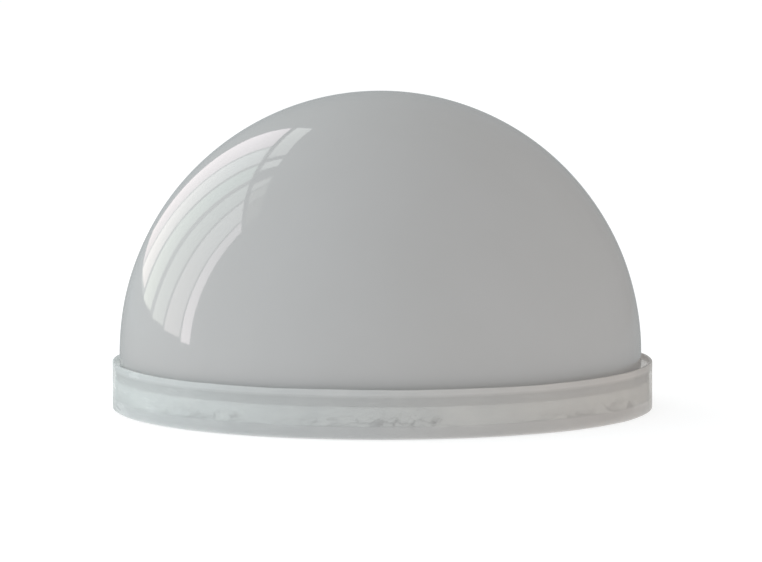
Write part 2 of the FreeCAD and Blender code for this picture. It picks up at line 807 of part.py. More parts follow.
def transceiver_case():
    """Cast box, open at the top, with ears, corner pillars and the coaxial socket low on its inner wall."""
    centre = (transceiver_centre_x, 0.0)
    case = slab(transceiver_x, transceiver_y, floor_top_z, transceiver_top_z, 5.0, centre)
    ear_top_z = floor_top_z + ear_height
    ears = [rod(floor_top_z, ear_top_z, ear_r, at) for at in transceiver_ears()]
    bridges = []
    for x, y in transceiver_ears():
        near_y = math.copysign(transceiver_y / 2 - 1.0, y)
        bridges.append(box(x - ear_r, x + ear_r, min(near_y, y), max(near_y, y), floor_top_z, ear_top_z))
    socket = Part.makeCylinder(coax_socket_r, 6.0, V(transceiver_face_x - 1.0, 0, coax_z), V(1, 0, 0))
    case = fused([case] + ears + bridges + [socket])
    inside = slab(transceiver_x - 2 * transceiver_wall, transceiver_y - 2 * transceiver_wall,
                  floor_top_z + transceiver_wall + rf_step, transceiver_top_z + past, 2.5, centre)
    pillars = [rod(floor_top_z + 1, transceiver_top_z + 2, 4.5, at) for at in transceiver_corners()]
    case = case.cut(inside.cut(pillars))
    holes = [rod(floor_top_z - past, ear_top_z + past, m4_r + close_fit, at) for at in transceiver_ears()]
    low_z = transceiver_top_z - 9.0
    holes += [rod(low_z, transceiver_top_z + past, m3_r + press, at) for at in transceiver_corners()]
    return drilled(case, holes)


def transceiver_lid():
    """Finned lid."""
    centre = (transceiver_centre_x, 0.0)
    plate_top_z = transceiver_top_z + lid_thickness
    plate = slab(transceiver_x, transceiver_y, transceiver_top_z, plate_top_z, 5.0, centre)
    pitch = (transceiver_x - 26.0) / (fin_count - 1)
    half_y = transceiver_y / 2 - 4.0
    fins = []
    for i in range(fin_count):
        x = transceiver_centre_x + pitch * (i - (fin_count - 1) / 2)
        fin_top_z = plate_top_z + fin_height
        fins.append(box(x - fin_half, x + fin_half, -half_y, half_y, plate_top_z - past, fin_top_z))
    low_z = transceiver_top_z - past
    holes = [rod(low_z, plate_top_z + past, m3_r + 0.2, at) for at in transceiver_corners()]
    return drilled(fused([plate] + fins), holes)


def transceiver_screws():
    reach = ear_height + pan_wall + 4.0
    ears = [cap_screw(at, floor_top_z + ear_height, m4_r, reach) for at in transceiver_ears()]
    lid_z = transceiver_top_z + lid_thickness
    return ears + [cap_screw(at, lid_z, m3_r, 11.0) for at in transceiver_corners()]


def rf_board():
    """Radio board inside the box, resting on the step of its floor, with two shielded sections."""
    x = transceiver_centre_x
    low_z = floor_top_z + transceiver_wall + rf_step
    top_z = low_z + board_thickness
    board = box(x - 30, x + 30, -42, 42, low_z, top_z)
    small_can = box(x - 26, x - 2, -36, -4, top_z, top_z + 6)
    large_can = box(x + 2, x + 26, -36, 20, top_z, top_z + 5)
    return [board, small_can, large_can]


def board_holes():
    dx = board_x / 2 - 5.0
    dy = board_y / 2 - 5.0
    return [(sx * dx, board_centre_y + sy * dy) for sx in (-1, 1) for sy in (-1, 1)]


def control_board():
    board = slab(board_x, board_y, board_z, board_top_z, 3.0, (0.0, board_centre_y))
    return drilled(board, [rod(board_z - past, board_top_z + past, m3_r + 0.1, at) for at in board_holes()])


board_plugs = {"power": 45.0, "network": 27.0, "motor": 9.0}
plug_half = 6.0
header_inset = 2.0
header_height = 11.0
plug_z = board_top_z + header_height / 2


def board_parts():
    """Plug headers along the rear edge, electrolytic capacitors, a transformer and a shielded processor."""
    low_z = board_top_z
    high_z = low_z + header_height
    rear_y = board_edge_y - header_inset
    front_y = rear_y - 2 * plug_half
    items = []
    for x in board_plugs.values():
        items.append(box(x - plug_half, x + plug_half, front_y, rear_y, low_z, high_z))
    for x in (-52.0, -36.0, -20.0):
        items.append(rod(low_z, low_z + 22, 6.3, (x, board_edge_y - 16)))
    items.append(slab(34.0, 30.0, low_z, low_z + 24, 2.0, (-34.0, board_centre_y - 10)))
    items.append(slab(46.0, 38.0, low_z, low_z + 5, 1.5, (24.0, board_centre_y - 8)))
    return items


def board_standoffs():
    posts = []
    for at in board_holes():
        tail = rod(floor_top_z - 6, floor_top_z + past, m3_r, at)
        post = fused([hexagon(floor_top_z, board_z, 6.0, at), tail])
        posts.append(post.cut(rod(board_z - 6, board_z + past, m3_r + press, at)))
    return posts


def board_screws():
    return [cap_screw(at, board_top_z, m3_r, board_thickness + 4.0) for at in board_holes()]


# ---------------------------------------------------------------- radio line and held leads


def rotary_joint_stator():
    """Fixed half of the rotary joint: a rod up the hollow spindle, on a plug with a side socket."""
    core = fused([rod(floor_top_z, coax_z + 3.8, 14.0), rod(floor_top_z, spindle_top_z + 2.0, joint_rod_r)])
    side = Part.makeCylinder(coax_socket_r, 12.0, V(-13.0, 0, coax_z), V(-1, 0, 0))
    return fused([core, side])


def coax_jumper():
    """Straight semi-rigid line with a coupling nut at each end."""
    near_x = -25.2
    far_x = transceiver_face_x + 5.2
    line = Part.makeCylinder(coax_r, near_x - far_x, V(near_x, 0, coax_z), V(-1, 0, 0))
    nuts = []
    for x in (near_x - 7.0, far_x - 0.2):
        nut = hexagon(0, 7.2, 7.0)
        nut.rotate(V(0, 0, 0), V(0, 1, 0), 90)
        nut.translate(V(x, 0, coax_z))
        nuts.append(nut)
    start = V(near_x + 10.0, 0, coax_z)
    bore = Part.makeCylinder(coax_r + press, near_x - far_x + 20.0, start, V(-1, 0, 0))
    return [line] + [nut.cut(bore) for nut in nuts]


def lead(plug, points, radius):
    """Insulated lead, ending in its header on the control board."""
    x = board_plugs[plug]
    last = [(x, board_edge_y + 12.0, plug_z), (x, board_edge_y - header_inset, plug_z)]
    return bent_tube(points + last, radius)


def power_lead():
    x, y = sockets["power"]
    return lead("power", [
        (x, y, socket_rear_z),
        (x, y, socket_rear_z + 18.0),
        (x + 30.0, y - 44.0, 44.0),
        (81.0, 82.0, 20.0),
        (79.0, 30.0, 17.5),
        (76.0, -28.0, 18.0),
        (56.0, board_edge_y + 26.0, 26.0),
    ], 2.5)


def network_lead():
    x, y = sockets["network"]
    return lead("network", [
        (x, y, socket_rear_z),
        (x, y, socket_rear_z + 20.0),
        (x + 46.0, y - 44.0, 52.0),
        (52.0, 86.0, 30.0),
        (71.0, 46.0, 17.0),
        (69.0, 0.0, 16.5),
        (58.0, -38.0, 22.0),
        (33.0, board_edge_y + 20.0, 31.0),
    ], 2.0)


def motor_lead():
    x = motor_at[0]
    y = -motor_side / 2
    z = motor_base_z + motor_bell / 2
    return lead("motor", [
        (x, y, z),
        (x, y - 14.0, z),
        (x - 26.0, y - 24.0, z + 2.0),
        (28.0, board_edge_y + 15.0, z + 3.0),
    ], 1.5)


# ---------------------------------------------------------------- scanner


def bracket_screw_spots():
    return on_circle(4, gear_screw_circle_r, 0.0)


def spindle():
    """Hollow steel spindle: bearing seat, shoulder, gear flange and centring boss."""
    shaft = lathe([
        (spindle_bore_r, lower_bearing_z - 10.0),
        (bearing_inner_r - 0.5, lower_bearing_z - 10.0),
        (bearing_inner_r, lower_bearing_z - 9.5),
        (bearing_inner_r, shoulder_z),
        (spindle_boss_r, shoulder_z),
        (spindle_boss_r, spindle_flange_z),
        (spindle_flange_r, spindle_flange_z),
        (spindle_flange_r, gear_z),
        (spindle_boss_r, gear_z),
        (spindle_boss_r, spindle_top_z),
        (spindle_bore_r, spindle_top_z),
    ])
    low_z = spindle_flange_z - past
    return drilled(shaft, [rod(low_z, gear_z + past, m4_r + press, at) for at in bracket_screw_spots()])


def bearing_spacer():
    return ring(lower_bearing_z + bearing_width, upper_bearing_z, spacer_r, bearing_inner_r + press)


def spindle_nut():
    """Slotted ring nut that clamps the inner rings."""
    nut = ring(lower_bearing_z - 7.0, lower_bearing_z, 18.0, bearing_inner_r + press)
    slots = []
    for angle in (0.0, 90.0, 180.0, 270.0):
        slot = box(15.5, 20, -2.2, 2.2, lower_bearing_z - 8, lower_bearing_z + past)
        slot.rotate(V(0, 0, 0), UP, angle)
        slots.append(slot)
    return drilled(nut, slots)


def drive_gear():
    """Moulded gear with a thinned, drilled web and a pocket for the heading magnet."""
    web_out_r = gear_r - 12.0
    web_in_r = spindle_flange_r + 3.0
    gear = spur_gear(gear_teeth, gear_z, gear_top_z, 0.0)
    low_z = gear_z - past
    high_z = gear_top_z + past
    cuts = [rod(low_z, high_z, spindle_boss_r + press)]
    cuts.append(ring(gear_top_z - gear_recess, high_z, web_out_r, web_in_r))
    cuts.append(ring(low_z, gear_z + gear_recess, web_out_r, web_in_r))
    cuts += [rod(low_z, high_z, 8.5, at) for at in on_circle(6, (web_in_r + web_out_r) / 2, 0.0)]
    cuts += [rod(low_z, high_z, m4_r + close_fit, at) for at in bracket_screw_spots()]
    cuts.append(rod(low_z, gear_z + magnet_height, magnet_r + press, heading_at))
    return drilled(gear, cuts)


def gear_screws():
    seat_z = bracket_z + bracket_thickness
    return [cap_screw(at, seat_z, m4_r, seat_z - spindle_flange_z - 0.5) for at in bracket_screw_spots()]


def heading_magnet():
    return rod(gear_z, gear_z + magnet_height, magnet_r, heading_at)


def rotary_joint_rotor():
    """Turning half of the rotary joint, seated on the spindle's end over the fixed rod."""
    return lathe([
        (joint_rod_r + running, spindle_top_z),
        (11.0, spindle_top_z),
        (11.0, spindle_top_z + 2.0),
        (8.0, spindle_top_z + 3.0),
        (8.0, radiator_z - 1.0),
        (0.0, radiator_z - 1.0),
        (0.0, spindle_top_z + 3.0),
        (joint_rod_r + running, spindle_top_z + 3.0),
    ])


def radiator_screw_spots():
    return [(sx * 25.0, z) for sx in (-1, 1) for z in (radiator_z + 14.0, radiator_z + 40.0)]


def along_y(y0, y1, r, x, z):
    return Part.makeCylinder(r, y1 - y0, V(x, y0, z), V(0, 1, 0))


def radiator_bracket():
    """Cast bracket: foot on the gear, upright behind the radiator, a web at each side."""
    back_y = radiator_back
    high_z = radiator_z + 46.0
    half = bracket_x / 2
    foot = slab(bracket_x, bracket_foot_y, bracket_z, bracket_z + bracket_thickness, 8.0)
    upright = box(-half, half, back_y, back_y + bracket_thickness, bracket_z, high_z)
    wings = []
    for x in (-half, half - bracket_thickness):
        rise = bracket_z + bracket_thickness - 1
        toe = V(x, -26.0, rise)
        heel = V(x, back_y + 1, rise)
        shoulder = V(x, back_y + 1, radiator_z - 1.5)
        triangle = Part.Face(Part.makePolygon([toe, heel, shoulder, toe]))
        wings.append(triangle.extrude(V(bracket_thickness, 0, 0)))
    bracket = fused([foot, upright] + wings)
    low_z = bracket_z - past
    top_z = bracket_z + bracket_thickness + past
    far_y = back_y + bracket_thickness + past
    cuts = [rod(low_z, top_z, spindle_boss_r + press)]
    cuts += [rod(low_z, top_z, m4_r + close_fit, at) for at in bracket_screw_spots()]
    cuts += [along_y(back_y - past, far_y, m4_r + close_fit, x, z) for x, z in radiator_screw_spots()]
    return drilled(bracket, cuts)


def trough(y0, y1, wall, open_side):
    """Channel along X between y0 and y1, open towards open_side."""
    half = radiator_x / 2 - cap_wall
    outer = box(-half, half, y0, y1, radiator_z, radiator_top_z)
    if open_side < 0:
        inner = box(-half - 1, half + 1, y0 - 1, y1 - wall, radiator_z + wall, radiator_top_z - wall)
    else:
        inner = box(-half - 1, half + 1, y0 + wall, y1 + 1, radiator_z + wall, radiator_top_z - wall)
    return outer.cut(inner)


def long_edges(solid, y):
    """The edges that run the radiator's length at y."""
    return [e for e in solid.Edges if abs(e.CenterOfMass.y - y) < 1e-6 and e.Length > radiator_x / 2]


def radiator_channel():
    """Aluminium back channel, drilled for the bracket, the board and the feed."""
    channel = trough(cover_y, radiator_back, radiator_wall, -1)
    channel = channel.makeFillet(3.0, long_edges(channel, radiator_back))
    cuts = [along_y(0, radiator_back + past, m4_r + press, x, z) for x, z in radiator_screw_spots()]
    cuts.append(rod(radiator_z - past, radiator_z + radiator_wall + past, 3.0))
    return drilled(channel, cuts)


def radiator_cover():
    """Thin moulded front, meeting the channel edge to edge."""
    cover = trough(-radiator_front, cover_y, cover_wall, 1)
    return cover.makeFillet(4.0, long_edges(cover, -radiator_front))


def radiator_board():
    """Printed array on stand-off pillars."""
    half = radiator_x / 2 - cap_wall - 12.0
    front_y = 4.0
    back_y = front_y + board_thickness
    board = box(-half, half, front_y, back_y, radiator_z + 5.0, radiator_top_z - 5.0)
    pillars = []
    for x in (-0.85 * half, -0.45 * half, 0.45 * half, 0.85 * half):
        for z in (radiator_z + 11.0, radiator_top_z - 11.0):
            pillars.append(along_y(back_y, radiator_back - radiator_wall, 3.0, x, z))
    return [board] + pillars


def radiator_end_caps():
    """Moulded caps with a plug that fits inside the channel and cover."""
    caps = []
    for side in (-1, 1):
        outer_x = side * radiator_x / 2
        inner_x = outer_x - side * cap_wall
        plug_x = inner_x - side * 8.0
        low_x, high_x = sorted((outer_x, inner_x))
        plate = box(low_x, high_x, -radiator_front, radiator_back, radiator_z, radiator_top_z)
        edges = [e for e in plate.Edges if abs(e.Vertexes[0].X - e.Vertexes[1].X) > 1e-6]
        plate = plate.makeFillet(3.0, edges)
        gap = radiator_wall + close_fit
        low_y = -radiator_front + cover_wall + 3.0
        high_y = radiator_back - gap - 2.0
        low_z = radiator_z + gap
        high_z = radiator_top_z - gap
        low_x, high_x = sorted((plug_x, inner_x + side))
        plug = box(low_x, high_x, low_y, high_y, low_z, high_z)
        low_x, high_x = sorted((plug_x - side, inner_x))
        hollow = box(low_x, high_x, low_y + 2, high_y - 2, low_z + 2, high_z - 2)
        caps.append(fused([plate, plug]).cut(hollow))
    return caps


def radiator_screws():
    screws = []
    for x, z in radiator_screw_spots():
        screw = cap_screw((0.0, 0.0), 0.0, m4_r, bracket_thickness + radiator_wall + 3.0)
        screw.rotate(V(0, 0, 0), V(1, 0, 0), -90)
        screw.translate(V(x, radiator_back + bracket_thickness, z))
        screws.append(screw)
    return screws


def feed_line():
    """Straight coaxial feed from the rotary joint to its launcher on the array."""
    launcher_z = radiator_z + 22.0
    line = rod(radiator_z - 1.0, launcher_z, coax_r)
    launcher = box(-4.0, 4.0, -4.0, 4.0, launcher_z, launcher_z + 8.0)
    return [line, launcher]


# ---------------------------------------------------------------- export

parts = {
    "radome_dome": radome_dome(),
    "radome_inserts": radome_inserts(),
    "collar_band": collar_band(),
    "collar_bond": collar_bond(),
    "base_rim": base_rim(),
    "base_floor": base_floor(),
    "plug_bay": plug_bay(),
    "base_gasket": base_gasket(),
    "radome_screws": radome_screws(),
    "screw_seals": screw_seals(),
    "mount_inserts": mount_inserts(),
    "breather_vent": breather_vent(),
    "power_socket": bulkhead_socket("power", 4),
    "network_socket": bulkhead_socket("network", 8),
    "socket_nuts": socket_nuts(),
    "socket_seals": socket_seals(),
    "ground_stud": ground_stud(),
    "pedestal": pedestal(),
    "pedestal_screws": pedestal_screws(),
    "bearing_outers": [bearing_outer(z) for z in (lower_bearing_z, upper_bearing_z)],
    "bearing_circlip": bearing_circlip(),
    "chassis_posts": chassis_posts(),
    "chassis_plate": chassis_plate(),
    "chassis_screws": chassis_screws(),
    "motor_stator": motor_stator(),
    "motor_end_bells": motor_end_bells(),
    "motor_screws": motor_screws(),
    "transceiver_case": transceiver_case(),
    "transceiver_lid": transceiver_lid(),
    "transceiver_screws": transceiver_screws(),
    "rf_board": rf_board(),
    "control_board": control_board(),
    "board_parts": board_parts(),
    "board_standoffs": board_standoffs(),
    "board_screws": board_screws(),
    "rotary_joint_stator": rotary_joint_stator(),
    "coax_jumper": coax_jumper(),
    "power_lead": power_lead(),
    "network_lead": network_lead(),
    "motor_lead": motor_lead(),
    "heading_sensor": heading_sensor(),
    "spindle": spindle(),
    "bearing_inners": [bearing_inner(z) for z in (lower_bearing_z, upper_bearing_z)],
    "bearing_spacer": bearing_spacer(),
    "spindle_nut": spindle_nut(),
    "drive_gear": drive_gear(),
    "gear_screws": gear_screws(),
    "heading_magnet": heading_magnet(),
    "rotary_joint_rotor": rotary_joint_rotor(),
    "radiator_bracket": radiator_bracket(),
    "radiator_channel": radiator_channel(),
    "radiator_board": radiator_board(),
    "radiator_cover": radiator_cover(),
    "radiator_end_caps": radiator_end_caps(),
    "radiator_screws": radiator_screws(),
    "feed_line": feed_line(),
    "motor_shaft": motor_shaft(),
    "drive_pinion": drive_pinion(),
    "lower_bearing_balls": bearing_ball_set(lower_bearing_z),
    "upper_bearing_balls": bearing_ball_set(upper_bearing_z),
}

os.makedirs("parts", exist_ok=True)
for node, shape in parts.items():
    solids = shape if isinstance(shape, list) else [shape]
    for solid in solids:
        if not solid.isValid() or solid.Volume <= 0 or len(solid.Solids) != 1:
            print("check", node, solid.isValid(), round(solid.Volume, 2), len(solid.Solids))
    Part.makeCompound(solids).exportStep(os.path.join("parts", node + ".step"))
print(len(parts), "nodes; radiator", round(radiator_x, 1), "mm long; radome top at", equator_z + dome_r)
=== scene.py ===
import math

import bpy
from mathutils import Matrix, Vector


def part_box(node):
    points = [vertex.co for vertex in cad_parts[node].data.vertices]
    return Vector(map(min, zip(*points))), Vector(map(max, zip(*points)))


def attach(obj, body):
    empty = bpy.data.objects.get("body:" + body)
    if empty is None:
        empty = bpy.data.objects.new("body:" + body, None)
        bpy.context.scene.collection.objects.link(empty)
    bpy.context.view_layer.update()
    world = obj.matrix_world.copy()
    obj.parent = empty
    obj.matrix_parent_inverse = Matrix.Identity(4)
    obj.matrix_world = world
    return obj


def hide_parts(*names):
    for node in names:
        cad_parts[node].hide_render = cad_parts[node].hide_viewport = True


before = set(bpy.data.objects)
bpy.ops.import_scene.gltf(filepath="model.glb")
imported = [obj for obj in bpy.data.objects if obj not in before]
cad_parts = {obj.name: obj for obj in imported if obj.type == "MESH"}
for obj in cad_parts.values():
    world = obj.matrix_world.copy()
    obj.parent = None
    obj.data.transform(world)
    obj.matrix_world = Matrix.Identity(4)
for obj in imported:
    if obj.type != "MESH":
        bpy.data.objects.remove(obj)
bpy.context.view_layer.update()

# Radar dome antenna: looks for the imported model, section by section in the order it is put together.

scene = bpy.context.scene
scene.view_settings.view_transform = "Standard"

# ================================================================ camera
# A long lens from a little above the collar, aimed at the middle of the object's height. It stands far
# enough off that the collar's ellipse stays shallow.

camera_distance = 4.30
camera_elevation = math.radians(5.4)
camera_aim = Vector((-0.00133, 0, 0.1124))
camera_lens = 228.4

camera = bpy.data.objects.new("camera", bpy.data.cameras.new("camera"))
scene.collection.objects.link(camera)
scene.camera = camera
camera.data.lens = camera_lens
camera.data.clip_start = 0.1
camera.data.clip_end = 100.0
toward_camera = Vector((0, -math.cos(camera_elevation), math.sin(camera_elevation)))
camera.location = camera_aim + toward_camera * camera_distance
camera.rotation_mode = "QUATERNION"
camera.rotation_quaternion = toward_camera.to_track_quat("Z", "Y")


# ================================================================ room light
# Even light from the room, a little stronger and cooler on the left and warmer on the right. The backdrop
# is plain white, and gloss and clear pieces show it too.


def put(tree, kind, links=None, **settings):
    """Adds a node. settings are its properties, and links gives each input a value or another node's output."""
    node = tree.nodes.new("ShaderNode" + kind)
    for name, value in settings.items():
        setattr(node, name, value)
    for name, value in (links or {}).items():
        socket = node.inputs[name]
        if isinstance(value, bpy.types.NodeSocket):
            tree.links.new(value, socket)
        else:
            socket.default_value = value
    return node


def ramp(tree, factor, *stops):
    """Colour ramp through (position, grey or colour) stops."""
    node = put(tree, "ValToRGB", {"Fac": factor})
    while len(node.color_ramp.elements) < len(stops):
        node.color_ramp.elements.new(0.5)
    for element, (position, colour) in zip(node.color_ramp.elements, stops):
        element.position = position
        shade = colour if hasattr(colour, "__len__") else (colour, colour, colour)
        element.color = (*shade, 1.0)
    return node.outputs["Color"]


def math_of(tree, operation, *values, clamp=False):
    """Result of a math node. Each value is a number or another node's output."""
    node = put(tree, "Math", operation=operation, use_clamp=clamp)
    for socket, value in zip(node.inputs, values):
        if isinstance(value, bpy.types.NodeSocket):
            tree.links.new(value, socket)
        else:
            socket.default_value = value
    return node.outputs["Value"]


left_light = (0.855, 0.925, 0.97)
right_light = (0.86, 0.84, 0.82)

world = bpy.data.worlds.new("room")
scene.world = world
world.use_nodes = True
sky = world.node_tree
sky.nodes.clear()
direction = put(sky, "TexCoord").outputs["Generated"]
sideways = put(sky, "SeparateXYZ", {"Vector": direction}).outputs["X"]
across = math_of(sky, "MULTIPLY_ADD", sideways, 0.5, 0.5)
room = put(sky, "Background", {"Color": ramp(sky, across, (0.0, left_light), (1.0, right_light)), "Strength": 1.0})
backdrop = put(sky, "Background", {"Color": (1, 1, 1, 1), "Strength": 1.0})
path = put(sky, "LightPath")
seen = math_of(sky, "ADD", path.outputs["Is Camera Ray"], path.outputs["Is Glossy Ray"], clamp=True)
seen = math_of(sky, "ADD", seen, path.outputs["Is Transmission Ray"], clamp=True)
mixed = put(sky, "MixShader", {0: seen, 1: room.outputs[0], 2: backdrop.outputs[0]})
put(sky, "OutputWorld", {"Surface": mixed.outputs[0]})


# ================================================================ floor
# Plain white floor, seen from above only, which keeps the object's soft shadow. Its own glow is masked
# off under the object as a painted shadow, so no light comes up through the collar.

floor_reach = 30.0
floor_shade = 0.42
floor_glow = 0.66
# Radii of the painted shadow under the object, where the floor's glow fades out.
painted_shadow_from = 0.218
painted_shadow_to = 0.238


def mesh_object(name, points, faces, smooth=False):
    mesh = bpy.data.meshes.new(name)
    mesh.from_pydata([tuple(p) for p in points], [], faces)
    mesh.validate()
    if smooth:
        mesh.shade_smooth()
    thing = bpy.data.objects.new(name, mesh)
    scene.collection.objects.link(thing)
    return thing


def new_material(name):
    material = bpy.data.materials.new(name)
    material.use_nodes = True
    material.node_tree.nodes.clear()
    return material, material.node_tree


def wear(thing, material):
    """Gives a whole object one material."""
    thing.data.materials.clear()
    thing.data.materials.append(material)
    thing.data.polygons.foreach_set("material_index", [0] * len(thing.data.polygons))


def floor_white():
    material, tree = new_material("floor_white")
    shaded = put(tree, "BsdfDiffuse", {"Color": (floor_shade, floor_shade, floor_shade, 1)})
    place_of = put(tree, "TexCoord").outputs["Object"]
    away = put(tree, "VectorMath", {0: place_of}, operation="LENGTH").outputs["Value"]
    # Glow is masked off inside these radii: a painted shadow under the object.
    outside_painted_shadow = put(tree, "MapRange", {"Value": away, "From Min": painted_shadow_from, "From Max": painted_shadow_to}).outputs[0]
    strength = math_of(tree, "MULTIPLY", outside_painted_shadow, floor_glow)
    glow = put(tree, "Emission", {"Color": (1, 1, 1, 1), "Strength": strength})
    bright = put(tree, "AddShader", {0: shaded.outputs[0], 1: glow.outputs[0]})
    clear = put(tree, "BsdfTransparent")
    under = put(tree, "NewGeometry").outputs["Backfacing"]
    surface = put(tree, "MixShader", {0: under, 1: bright.outputs[0], 2: clear.outputs[0]})
    put(tree, "OutputMaterial", {"Surface": surface.outputs[0]})
    return material


r = floor_reach
floor = mesh_object("floor", [(-r, -r, 0), (r, -r, 0), (r, r, 0), (-r, r, 0)], [(0, 1, 2, 3)])
wear(floor, floor_white())

# ================================================================ window and wall
# A tall glazed screen stands behind and to the left. Its panes light the object and show in the gloss.
# Dull cards stand for the walls of the room. Only the gloss sees them.

window_distance = 3.0
window_bearing = math.radians(54)
window_origin = Vector((-0.17, -0.12, 0.155))
transom_low = 1.075
transom_high = 1.145
head = 1.42
far_drop = 0.07
drop_from = -0.2
drop_over = 0.5
window_left = 0.69
window_right = -0.695
backing_gap = 0.01
mullion_glow = 1.0
lower_panes = [
    (window_right, -0.428, 0.088, 2.45, (1.0, 0.93, 0.97), (0.62, 0.57, 0.57)),
    (-0.406, -0.200, 0.090, 2.3, (0.93, 0.99, 0.98), (1.0, 0.94, 0.90)),
    (-0.167, 0.014, 0.068, 2.3, (0.85, 1.0, 0.93), (0.95, 1.0, 0.90)),
    (0.073, 0.255, 0.050, 2.3, (0.90, 1.0, 0.95), (0.96, 1.0, 0.93)),
    (0.285, 0.522, 0.034, 2.8, (0.96, 1.0, 0.98), (1.0, 0.95, 0.93)),
    (0.546, window_left, 0.015, 4.7, (0.72, 0.69, 0.71), (1.0, 0.92, 0.94)),
]
upper_panes = [
    (window_right, -0.230, transom_high, 2.0, (0.95, 1.0, 0.98), (0.95, 1.0, 0.98)),
    (-0.170, -0.060, transom_high, 2.4, (0.94, 1.0, 0.98), (0.94, 1.0, 0.98)),
    (0.110, 0.200, transom_high, 2.0, (0.95, 1.0, 0.97), (0.95, 1.0, 0.97)),
    (0.220, 0.370, transom_high, 1.4, (0.95, 1.0, 0.96), (0.95, 1.0, 0.96)),
    (0.390, 0.670, transom_high, 0.9, (0.95, 1.0, 0.96), (0.95, 1.0, 0.96)),
]
outward = Vector((-math.sin(window_bearing), math.cos(window_bearing), 0))
along = Vector((-math.cos(window_bearing), -math.sin(window_bearing), 0))


def on_window(t, height):
    return window_origin + window_distance * (outward + t * along + height * Vector((0, 0, 1)))


def glowing_pane(name, strength, top, bottom):
    """Light that changes from the bottom colour to the top colour."""
    material, tree = new_material(name)
    height = put(tree, "SeparateXYZ", {"Vector": put(tree, "TexCoord").outputs["Generated"]}).outputs["Z"]
    colour = ramp(tree, height, (0.0, bottom), (0.7, top))
    light = put(tree, "Emission", {"Color": colour, "Strength": strength})
    put(tree, "OutputMaterial", {"Surface": light.outputs[0]})
    return material


def only_for(thing, camera=False, diffuse=False, glossy=False, shadow=False):
    thing.visible_camera = camera
    thing.visible_diffuse = diffuse
    thing.visible_glossy = glossy
    thing.visible_transmission = glossy
    thing.visible_shadow = shadow
    thing.visible_volume_scatter = False


def pane(name, high, values):
    left, right, low, strength, top, bottom = values
    drop_left, drop_right = (far_drop * min(1.0, max(0.0, (drop_from - t) / drop_over)) for t in (left, right))
    low_left, low_right = (low - drop for drop in (drop_left, drop_right)) if low > transom_low else (low, low)
    corners = [on_window(left, low_left), on_window(right, low_right),
               on_window(right, high - drop_right), on_window(left, high - drop_left)]
    thing = mesh_object(name, corners, [(0, 1, 2, 3)])
    wear(thing, glowing_pane(name, strength, top, bottom))
    only_for(thing, diffuse=True, glossy=True)


for i, values in enumerate(lower_panes):
    pane(f"window_lower_{i}", transom_low, values)
for i, values in enumerate(upper_panes):
    pane(f"window_upper_{i}", head, values)


def dull_card(name, corners, faces, left, right):
    """Card that only the gloss sees. Its tone runs from the left colour to the right colour."""
    material, tree = new_material(name)
    sideways_at = put(tree, "SeparateXYZ", {"Vector": put(tree, "TexCoord").outputs["Object"]}).outputs["X"]
    share = put(tree, "MapRange", {"Value": sideways_at, "From Min": -room_reach, "From Max": room_reach}).outputs[0]
    glow = put(tree, "Emission", {"Color": ramp(tree, share, (0.2, left), (0.8, right)), "Strength": 1.0})
    put(tree, "OutputMaterial", {"Surface": glow.outputs[0]})
    card = mesh_object(name, corners, faces)
    wear(card, material)
    only_for(card, glossy=True)


room_reach = 4.2
room_height = 4.6
room_left = (0.44, 0.49, 0.51)
room_right = (0.30, 0.30, 0.295)
a = room_reach
h = room_height
room_corners = [(x, y, z) for z in (0.002, h) for x, y in ((-a, -a), (a, -a), (a, a), (-a, a))]
room_faces = [(0, 1, 2, 3), (4, 5, 6, 7), (0, 1, 5, 4), (1, 2, 6, 5), (2, 3, 7, 6), (3, 0, 4, 7)]
dull_card("room_walls", room_corners, room_faces, room_left, room_right)
backing_outline = [(window_right, 0.10), (window_left, 0.02), (window_left, transom_low), (drop_from, transom_low),
                   (window_right, transom_low - far_drop)]
backing = [on_window(t, height) + outward * backing_gap for t, height in backing_outline]
glow = (mullion_glow * 0.93, mullion_glow, mullion_glow * 0.98)
dull_card("window_mullions", backing, [(0, 1, 2, 3, 4)], glow, glow)

# A soft lamp on the left adds the cool side of the light, and a weak one on the right the warm side.


def soft_lamp(name, spot, aim, size, power, colour):
    lamp = bpy.data.objects.new(name, bpy.data.lights.new(name, "AREA"))
    lamp.data.size = size
    lamp.data.energy = power
    lamp.data.color = colour
    lamp.location = spot
    lamp.rotation_mode = "QUATERNION"
    lamp.rotation_quaternion = (Vector(spot) - Vector(aim)).to_track_quat("Z", "Y")
    lamp.visible_glossy = False
    lamp.visible_camera = False
    lamp.visible_transmission = False
    scene.collection.objects.link(lamp)


soft_lamp("lamp_left", (-2.6, -1.0, 0.7), (0, 0, 0.12), 1.6, 16.0, (0.86, 0.96, 1.0))
soft_lamp("lamp_right", (2.6, -1.6, 0.3), (0, 0, 0.10), 1.2, 3.0, (1.0, 0.92, 0.84))

# ================================================================ radome shell
# One moulding in milky thermoplastic, 3 mm thick: hemisphere, short skirt, flange and turned-down lip.
# Its mould was a little uneven, so straight lines waver in its gloss. Eight bosses inside take the inserts.

shell_low, shell_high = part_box("radome_dome")
lip_outer = (shell_high.x - shell_low.x) / 2
shell_wall = 0.003
dome_radius = 0.232
flange_top = shell_low.z + 0.0175
fillet = 0.003
lip_rounding = 0.0006
equator = shell_high.z - dome_radius
boss_radius = 0.007
boss_top = flange_top - shell_wall + 0.0155
insert_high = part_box("radome_inserts")[1]
insert_radius = 0.00402
closure_circle = dome_radius - shell_wall - 0.005
closure_count = 8
waver_height = 0.00005
bonded_off_centre = -0.0019


def arc(centre_r, centre_z, radius, start, end, steps):
    """Points of a profile's round stretch, angles in degrees from the outward radius."""
    angles = [math.radians(start + (end - start) * i / steps) for i in range(steps + 1)]
    return [(centre_r + radius * math.cos(a), centre_z + radius * math.sin(a)) for a in angles]


